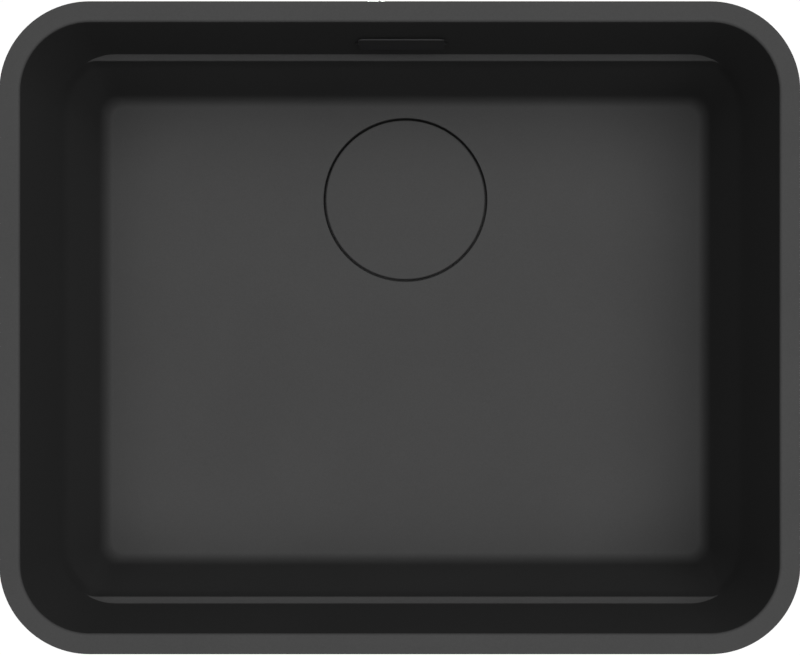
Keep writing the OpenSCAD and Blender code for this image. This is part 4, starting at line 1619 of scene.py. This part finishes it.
@dataclass
class OverflowHose(SubAssembly):
    """Ribbed hose from the overflow's spigot to the waste's, with a clip on each cuff."""

    start: Point = (-22.0, 225.5, -86.0)
    end_depth: float = 248.0
    end_reach: float = 51.0
    spigot_turn: float = 130.0
    cuff_length: float = 20.0
    cuff_r: float = 12.65
    lip: tuple[tuple[float, float], ...] = ((0.0, -0.7), (0.35, -0.2), (0.9, 0.0))
    shoulder: tuple[tuple[float, float], ...] = ((1.6, 0.0), (0.7, -0.3), (0.2, -0.9))
    top_pull: float = 62.3
    bottom_pull: float = 90.0
    line_steps: int = 600
    line_nudge: float = 0.004
    crest_r: float = 12.4
    valley_r: float = 10.7
    bore_r: float = 9.85
    bore_step: int = 8
    rib_pitch: float = 4.4
    rib_steps: int = 10
    rib_from: float = 0.18
    rib_share: float = 0.64
    rib_fullness: float = 0.6
    sides: int = 32
    sharp: float = 40.0

    def __post_init__(self) -> None:
        """Finds the two ends and the directions at them."""
        turn = radians(self.spigot_turn)
        self.down = Vector((0, 0, -1))
        self.way = Vector((cos(turn), sin(turn), 0))
        self.top = Vector(self.start)
        self.end = Vector((0, DRAIN_Y, -self.end_depth)) + self.way * self.end_reach
        self.bend_from = self.top + self.down * self.cuff_length
        self.bend_to = self.end + self.way * self.cuff_length
        self.side = self.down.cross(-self.way)

    def bend(self, t: float) -> Vector:
        """Point of the middle line between the cuffs.

        Args:
            t: 0 at the upper cuff, 1 at the lower one.

        Returns:
            The point.
        """
        u = 1 - t
        pull_from = self.bend_from + self.down * self.top_pull
        pull_to = self.bend_to + self.way * self.bottom_pull
        near = u**3 * self.bend_from + 3 * u * u * t * pull_from
        return near + 3 * u * t * t * pull_to + t**3 * self.bend_to

    def across(self, point: Vector, way: Vector, radius: float) -> Ring:
        """Round ring square to the hose, without twist.

        Args:
            point: its middle.
            way: direction of the hose there.
            radius: its radius.

        Returns:
            Its points.
        """
        first = way.cross(self.side).normalized()
        second = way.cross(first)
        turns = [tau * (i + 0.5) / self.sides for i in range(self.sides)]
        return np.array([point + radius * (cos(a) * first - sin(a) * second) for a in turns])

    def middle_line(self) -> tuple[list[Vector], list[Vector], list[float], float]:
        """Takes even steps along the bend.

        Returns:
            Points, directions, distances from the upper cuff, and the pitch that fits whole ribs.
        """
        fine = self.line_steps
        points = [self.bend(k / fine) for k in range(fine + 1)]
        lengths = np.concatenate([[0.0], np.cumsum([(b - a).length for a, b in zip(points, points[1:])])])
        whole = float(lengths[-1])
        ribs = floor(whole / self.rib_pitch)
        count = ribs * self.rib_steps
        stations = [whole * k / count for k in range(count + 1)]
        values = np.interp(stations, lengths, np.linspace(0, 1, fine + 1)).tolist()
        along = [self.bend(t) for t in values]
        near = [self.bend(max(0.0, t - self.line_nudge)) for t in values]
        far = [self.bend(min(1.0, t + self.line_nudge)) for t in values]
        ways = [(b - a).normalized() for a, b in zip(near, far)]
        return along, ways, stations, whole / ribs

    def rib(self, phase: float) -> float:
        """Outer radius at a share of a rib's pitch."""
        swell = sin(pi * min(1.0, max(0.0, (phase - self.rib_from) / self.rib_share)))
        return self.valley_r + (self.crest_r - self.valley_r) * max(0.0, swell) ** self.rib_fullness

    def outside(self) -> tuple[list[Ring], list[Vector]]:
        """Skins the outer face.

        Returns:
            Its rings, and the middle of each.
        """
        along, ways, stations, pitch = self.middle_line()
        down = self.down
        rows = [(self.top + down * s, down, self.cuff_r + r) for s, r in self.lip]
        rows += [(self.bend_from - down * s, down, self.cuff_r + r) for s, r in self.shoulder]
        rows += [(p, way, self.rib(station / pitch % 1.0)) for p, way, station in zip(along, ways, stations)]
        rows += [(self.bend_to - self.way * s, -self.way, self.cuff_r + r) for s, r in self.shoulder[::-1]]
        rows += [(self.end + self.way * s, -self.way, self.cuff_r + r) for s, r in self.lip[::-1]]
        return [self.across(*row) for row in rows], [row[0] for row in rows]

    def inside(self) -> list[Ring]:
        """Skins the bore.

        Returns:
            Its rings, in the same order as those of the outer face.
        """
        along, ways, _, _ = self.middle_line()
        rings = [self.across(self.top, self.down, self.bore_r)]
        for point, way in zip(along[:: self.bore_step], ways[:: self.bore_step]):
            rings.append(self.across(point, way, self.bore_r))
        rings.append(self.across(self.end, -self.way, self.bore_r))
        return rings

    def clips(self) -> None:
        """Makes the clips on the two cuffs, in place of their CAD nodes."""
        half = self.cuff_length / 2
        top = Matrix.Translation(self.top + self.down * half) @ Matrix.Rotation(pi / 2, 4, "Z")
        low = (
            Matrix.Translation(self.end + self.way * half)
            @ Matrix.Rotation(radians(self.spigot_turn), 4, "Z")
            @ Matrix.Rotation(pi / 2, 4, "Y")
        )
        for name, place in (("hose_clip_top", top), ("hose_clip_bottom", low)):
            clip = placed(HoseClip().shape(f"{name}_band"), place)
            polish(clip)
            self.settle(clip, Body.SINK, ZINC, name)

    def build(self) -> None:
        outer, middles = self.outside()
        hose = loft("overflow_hose_ribbed", outer + self.inside()[::-1], hollow=True)
        polish(hose, self.sharp)
        self.settle(hose, Body.SINK, HOSE_PLASTIC, "overflow_hose")
        self.clips()


@dataclass
class HoseClip:
    """Slotted steel band with its worm housing and screw, round the Z axis."""

    inner_r: float = 12.75
    width: float = 9.0
    thick: float = 0.8
    sides: int = 72
    first_slot: int = 9
    slots: int = 24
    saddle_sunk: float = 0.4
    saddle_root: float = 0.4
    saddle_height: float = 3.2
    saddle_foot: float = 5.0
    saddle_top: float = 4.4
    saddle_round: float = 1.2
    saddle_past: float = 0.3
    saddle_edge: float = 0.6
    screw_height: float = 1.8
    screw_start: float = 9.0
    head_across: float = 6.0
    head_height: float = 3.6
    head_corner: float = 0.5
    head_edge: float = 0.4
    collar_r: float = 3.4
    collar_low: float = 3.4
    collar_high: float = 4.3
    collar_edge: float = 0.3

    def point(self, layer: int, row: int, i: int) -> int:
        """Number of a point of the band, by its skin, row and turn."""
        return (layer * 4 + row) * self.sides + i % self.sides

    def skin(self, layer: int, row: int, i: int) -> tuple[int, ...]:
        """Face over one cell of the inner or the outer skin."""
        cell = ((row, i), (row, i + 1), (row + 1, i + 1), (row + 1, i))
        return tuple(self.point(layer, *corner) for corner in cell)

    def through(self, first: tuple[int, int], second: tuple[int, int]) -> tuple[int, ...]:
        """Face through the band's thickness, between two points given by row and turn."""
        return self.point(0, *first), self.point(0, *second), self.point(1, *second), self.point(1, *first)

    def is_slot(self, row: int, i: int) -> bool:
        """Whether a cell of the band is a slot: every other one of the middle row, over part of it."""
        turn = i % self.sides
        return row == 1 and turn % 2 == 1 and self.first_slot <= turn < self.first_slot + 2 * self.slots - 1

    def cell(self, row: int, i: int) -> list[tuple[int, ...]]:
        """Faces of one cell that isn't a slot, with the walls of the slots beside it.

        Args:
            row: its row.
            i: its turn.

        Returns:
            The faces.
        """
        faces = [self.skin(0, row, i), self.skin(1, row, i)]
        if self.is_slot(row, i - 1):
            faces.append(self.through((row, i), (row + 1, i)))
        if self.is_slot(row, i + 1):
            faces.append(self.through((row, i + 1), (row + 1, i + 1)))
        if row != 1 and self.is_slot(1, i):
            edge = 1 if row == 0 else 2
            faces.append(self.through((edge, i), (edge, i + 1)))
        return faces

    def band(self) -> bpy.types.Object:
        """Band with a row of slots through it.

        Returns:
            The band.
        """
        points: list[Point] = []
        for radius in (self.inner_r, self.inner_r + self.thick):
            for z in (-self.width / 2, -self.width / 4, self.width / 4, self.width / 2):
                turns = [tau * i / self.sides for i in range(self.sides)]
                points += [(radius * cos(a), radius * sin(a), z) for a in turns]
        faces: list[tuple[int, ...]] = []
        for i in range(self.sides):
            for row in range(3):
                if not self.is_slot(row, i):
                    faces += self.cell(row, i)
            faces += [self.through((row, i), (row, i + 1)) for row in (0, 3)]
        return piece_of("band", np.array(points), faces)

    def saddle(self) -> bpy.types.Object:
        """Housing of the worm.

        Returns:
            The housing, on the band.
        """
        low = self.inner_r + self.thick - self.saddle_sunk
        high = self.inner_r + self.thick + self.saddle_height
        outline = [
            (low, -self.saddle_foot, self.saddle_root),
            (high, -self.saddle_top, self.saddle_round),
            (high, self.saddle_top, self.saddle_round),
            (low, self.saddle_foot, self.saddle_root),
        ]
        reach = self.width / 2 + self.saddle_past
        return slab("saddle", eased(outline), -reach, reach, self.saddle_edge)

    def screw(self) -> bpy.types.Object:
        """Hexagon screw with its collar.

        Returns:
            The screw, beside the housing.
        """
        hexagon = regular(6, self.head_across, self.head_corner)
        head = slab("head", hexagon, 0.0, self.head_height, self.head_edge)
        corners = [
            (0.0, self.collar_low, 0.0),
            (self.collar_r, self.collar_low, self.collar_edge),
            (self.collar_r, self.collar_high, self.collar_edge),
            (0.0, self.collar_high, 0.0),
        ]
        collar = lathe("collar", eased(corners, 2), SMALL_SIDES)
        place = along_y((self.inner_r + self.thick + self.screw_height, -self.screw_start, 0.0))
        return placed(merged("screw", [head, collar]), place)

    def shape(self, name: str) -> bpy.types.Object:
        """Makes the whole clip.

        Args:
            name: name of the piece.

        Returns:
            Band, housing and screw in one object.
        """
        return merged(name, [self.band(), self.saddle(), self.screw()])


@dataclass
class FixingArms(SubAssembly):
    """Swinging steel arms with their screws, washers and inserts."""

    arm_edge: float = 0.3
    screw_edge: float = 0.35
    washer_edge: float = 0.15
    insert_edge: float = 0.15
    places: tuple[str, ...] = (
        "rear_left",
        "rear_right",
        "front_left",
        "front_right",
        "left_rear",
        "left_front",
        "right_rear",
        "right_front",
    )

    def build(self) -> None:
        """Dresses the CAD nodes under the rim."""
        self.dress(ZINC, self.arm_edge, *[f"arm_{place}" for place in self.places])
        self.dress(ZINC, self.screw_edge, "arm_screws")
        self.dress(ZINC, self.washer_edge, "arm_washers")
        self.dress(BRASS, self.insert_edge, "rim_inserts")


# Studio


@dataclass
class Studio:
    """Camera, soft lamps, white surround and pale floor. Lengths here are in metres."""

    eye: Point = (0.0220, -0.0088, 0.977)
    lens: float = 65.3
    sensor: float = 36.0
    shift: tuple[float, float] = (-0.0406, 0.0166)
    sight: float = 50.0
    key_place: Point = (0.4, 0.3, 5.0)
    key_aim: Point = (0.0, 0.0, -0.2)
    key_size: float = 4.0
    key_watts: float = 568.0
    side_away: float = 1.4
    side_wide: float = 1.6
    side_share: float = 0.9
    side_watts: float = 2.0
    ambient: float = 0.06
    floor_half: float = 40.0
    floor_tone: float = 0.85
    floor_glow: float = 0.9

    def place_camera(self) -> None:
        """Sets the camera straight above the bowl."""
        camera = bpy.data.cameras.new("camera")
        camera.lens = self.lens
        camera.sensor_width = self.sensor
        camera.shift_x, camera.shift_y = self.shift
        camera.clip_end = self.sight
        holder = bpy.data.objects.new("camera", camera)
        holder.location = self.eye
        bpy.context.scene.collection.objects.link(holder)
        bpy.context.scene.camera = holder

    def lamp(self, name: str, place: Point, aim: Point, size: tuple[float, float], watts: float) -> None:
        """Adds a soft rectangular lamp.

        Args:
            name: name of the lamp.
            place: its middle.
            aim: the point that it faces.
            size: its length and height.
            watts: its power.
        """
        light = bpy.data.lights.new(name, "AREA")
        light.shape = "RECTANGLE"
        light.size, light.size_y = size
        light.energy = watts
        holder = bpy.data.objects.new(name, light)
        holder.location = place
        holder.rotation_euler = (Vector(aim) - Vector(place)).to_track_quat("-Z", "Y").to_euler()
        bpy.context.scene.collection.objects.link(holder)

    def surround(self) -> None:
        """White for the camera and for reflections, soft grey for everything else."""
        world = bpy.data.worlds.new("surround")
        bpy.context.scene.world = world
        wiring = blank(world)
        path = wiring.add("LightPath").outputs
        seen = wiring.maths("MAXIMUM", path["Is Camera Ray"], path["Is Glossy Ray"])
        seen = wiring.maths("MAXIMUM", seen, path["Is Transmission Ray"])
        strength = wiring.spread(seen, 0.0, 1.0, self.ambient, 1.0)
        sky = wiring.add("Background", {"Color": WHITE, "Strength": strength})
        wiring.add("OutputWorld", {"Surface": sky.outputs[0]})

    def paper(self) -> bpy.types.Material:
        """Pale paper that the camera sees almost white.

        Returns:
            The material.
        """
        material = bpy.data.materials.new("floor_white")
        wiring = blank(material)
        path = wiring.add("LightPath").outputs
        seen = wiring.maths("MAXIMUM", path["Is Camera Ray"], path["Is Transmission Ray"])
        share = wiring.maths("MULTIPLY", seen, self.floor_glow)
        pale = wiring.add("BsdfDiffuse", {"Color": (self.floor_tone, self.floor_tone, self.floor_tone, 1.0)})
        glow = wiring.add("Emission", {"Color": WHITE, "Strength": 1.0})
        blend = wiring.add("MixShader", {0: share, 1: pale.outputs[0], 2: glow.outputs[0]})
        wiring.add("OutputMaterial", {"Surface": blend.outputs[0]})
        return material

    def ground(self, height: float) -> None:
        """Lays the floor, which keeps the shadow.

        Args:
            height: height of the sink's lowest point.
        """
        shape = bmesh.new()
        bmesh.ops.create_grid(shape, x_segments=1, y_segments=1, size=self.floor_half)
        plane = linked("floor", shape)
        plane.location.z = height
        plane.data.materials.append(self.paper())
        plane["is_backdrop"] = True

    def build(self, height: float) -> None:
        """Adds the lamps, the surround and the floor.

        Args:
            height: height of the floor.
        """
        self.lamp("key", self.key_place, self.key_aim, (self.key_size, self.key_size), self.key_watts)
        away = self.side_away
        size = (self.side_wide, abs(height) * self.side_share)
        for name, x, y in (("left", -away, 0), ("right", away, 0), ("front", 0, -away), ("rear", 0, away)):
            self.lamp(name, (x, y, height / 2), (0, 0, height / 2), size, self.side_watts)
        self.surround()
        self.ground(height)


def main() -> None:
    """Builds the scene in order."""
    logging.basicConfig(level=logging.INFO, format="%(name)s: %(message)s")
    bpy.context.scene.view_settings.view_transform = "Standard"
    cad_box = [list(corner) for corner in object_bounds()]
    studio = Studio()
    studio.place_camera()
    for group in (
        OverflowHose(),
        Bowl(),
        DrainCover(),
        Strainer(),
        Waste(),
        OutletBend(),
        Overflow(),
        FixingArms(),
    ):
        group.build()
    studio.build(cad_box[0][2])


if __name__ == "__main__":
    main()
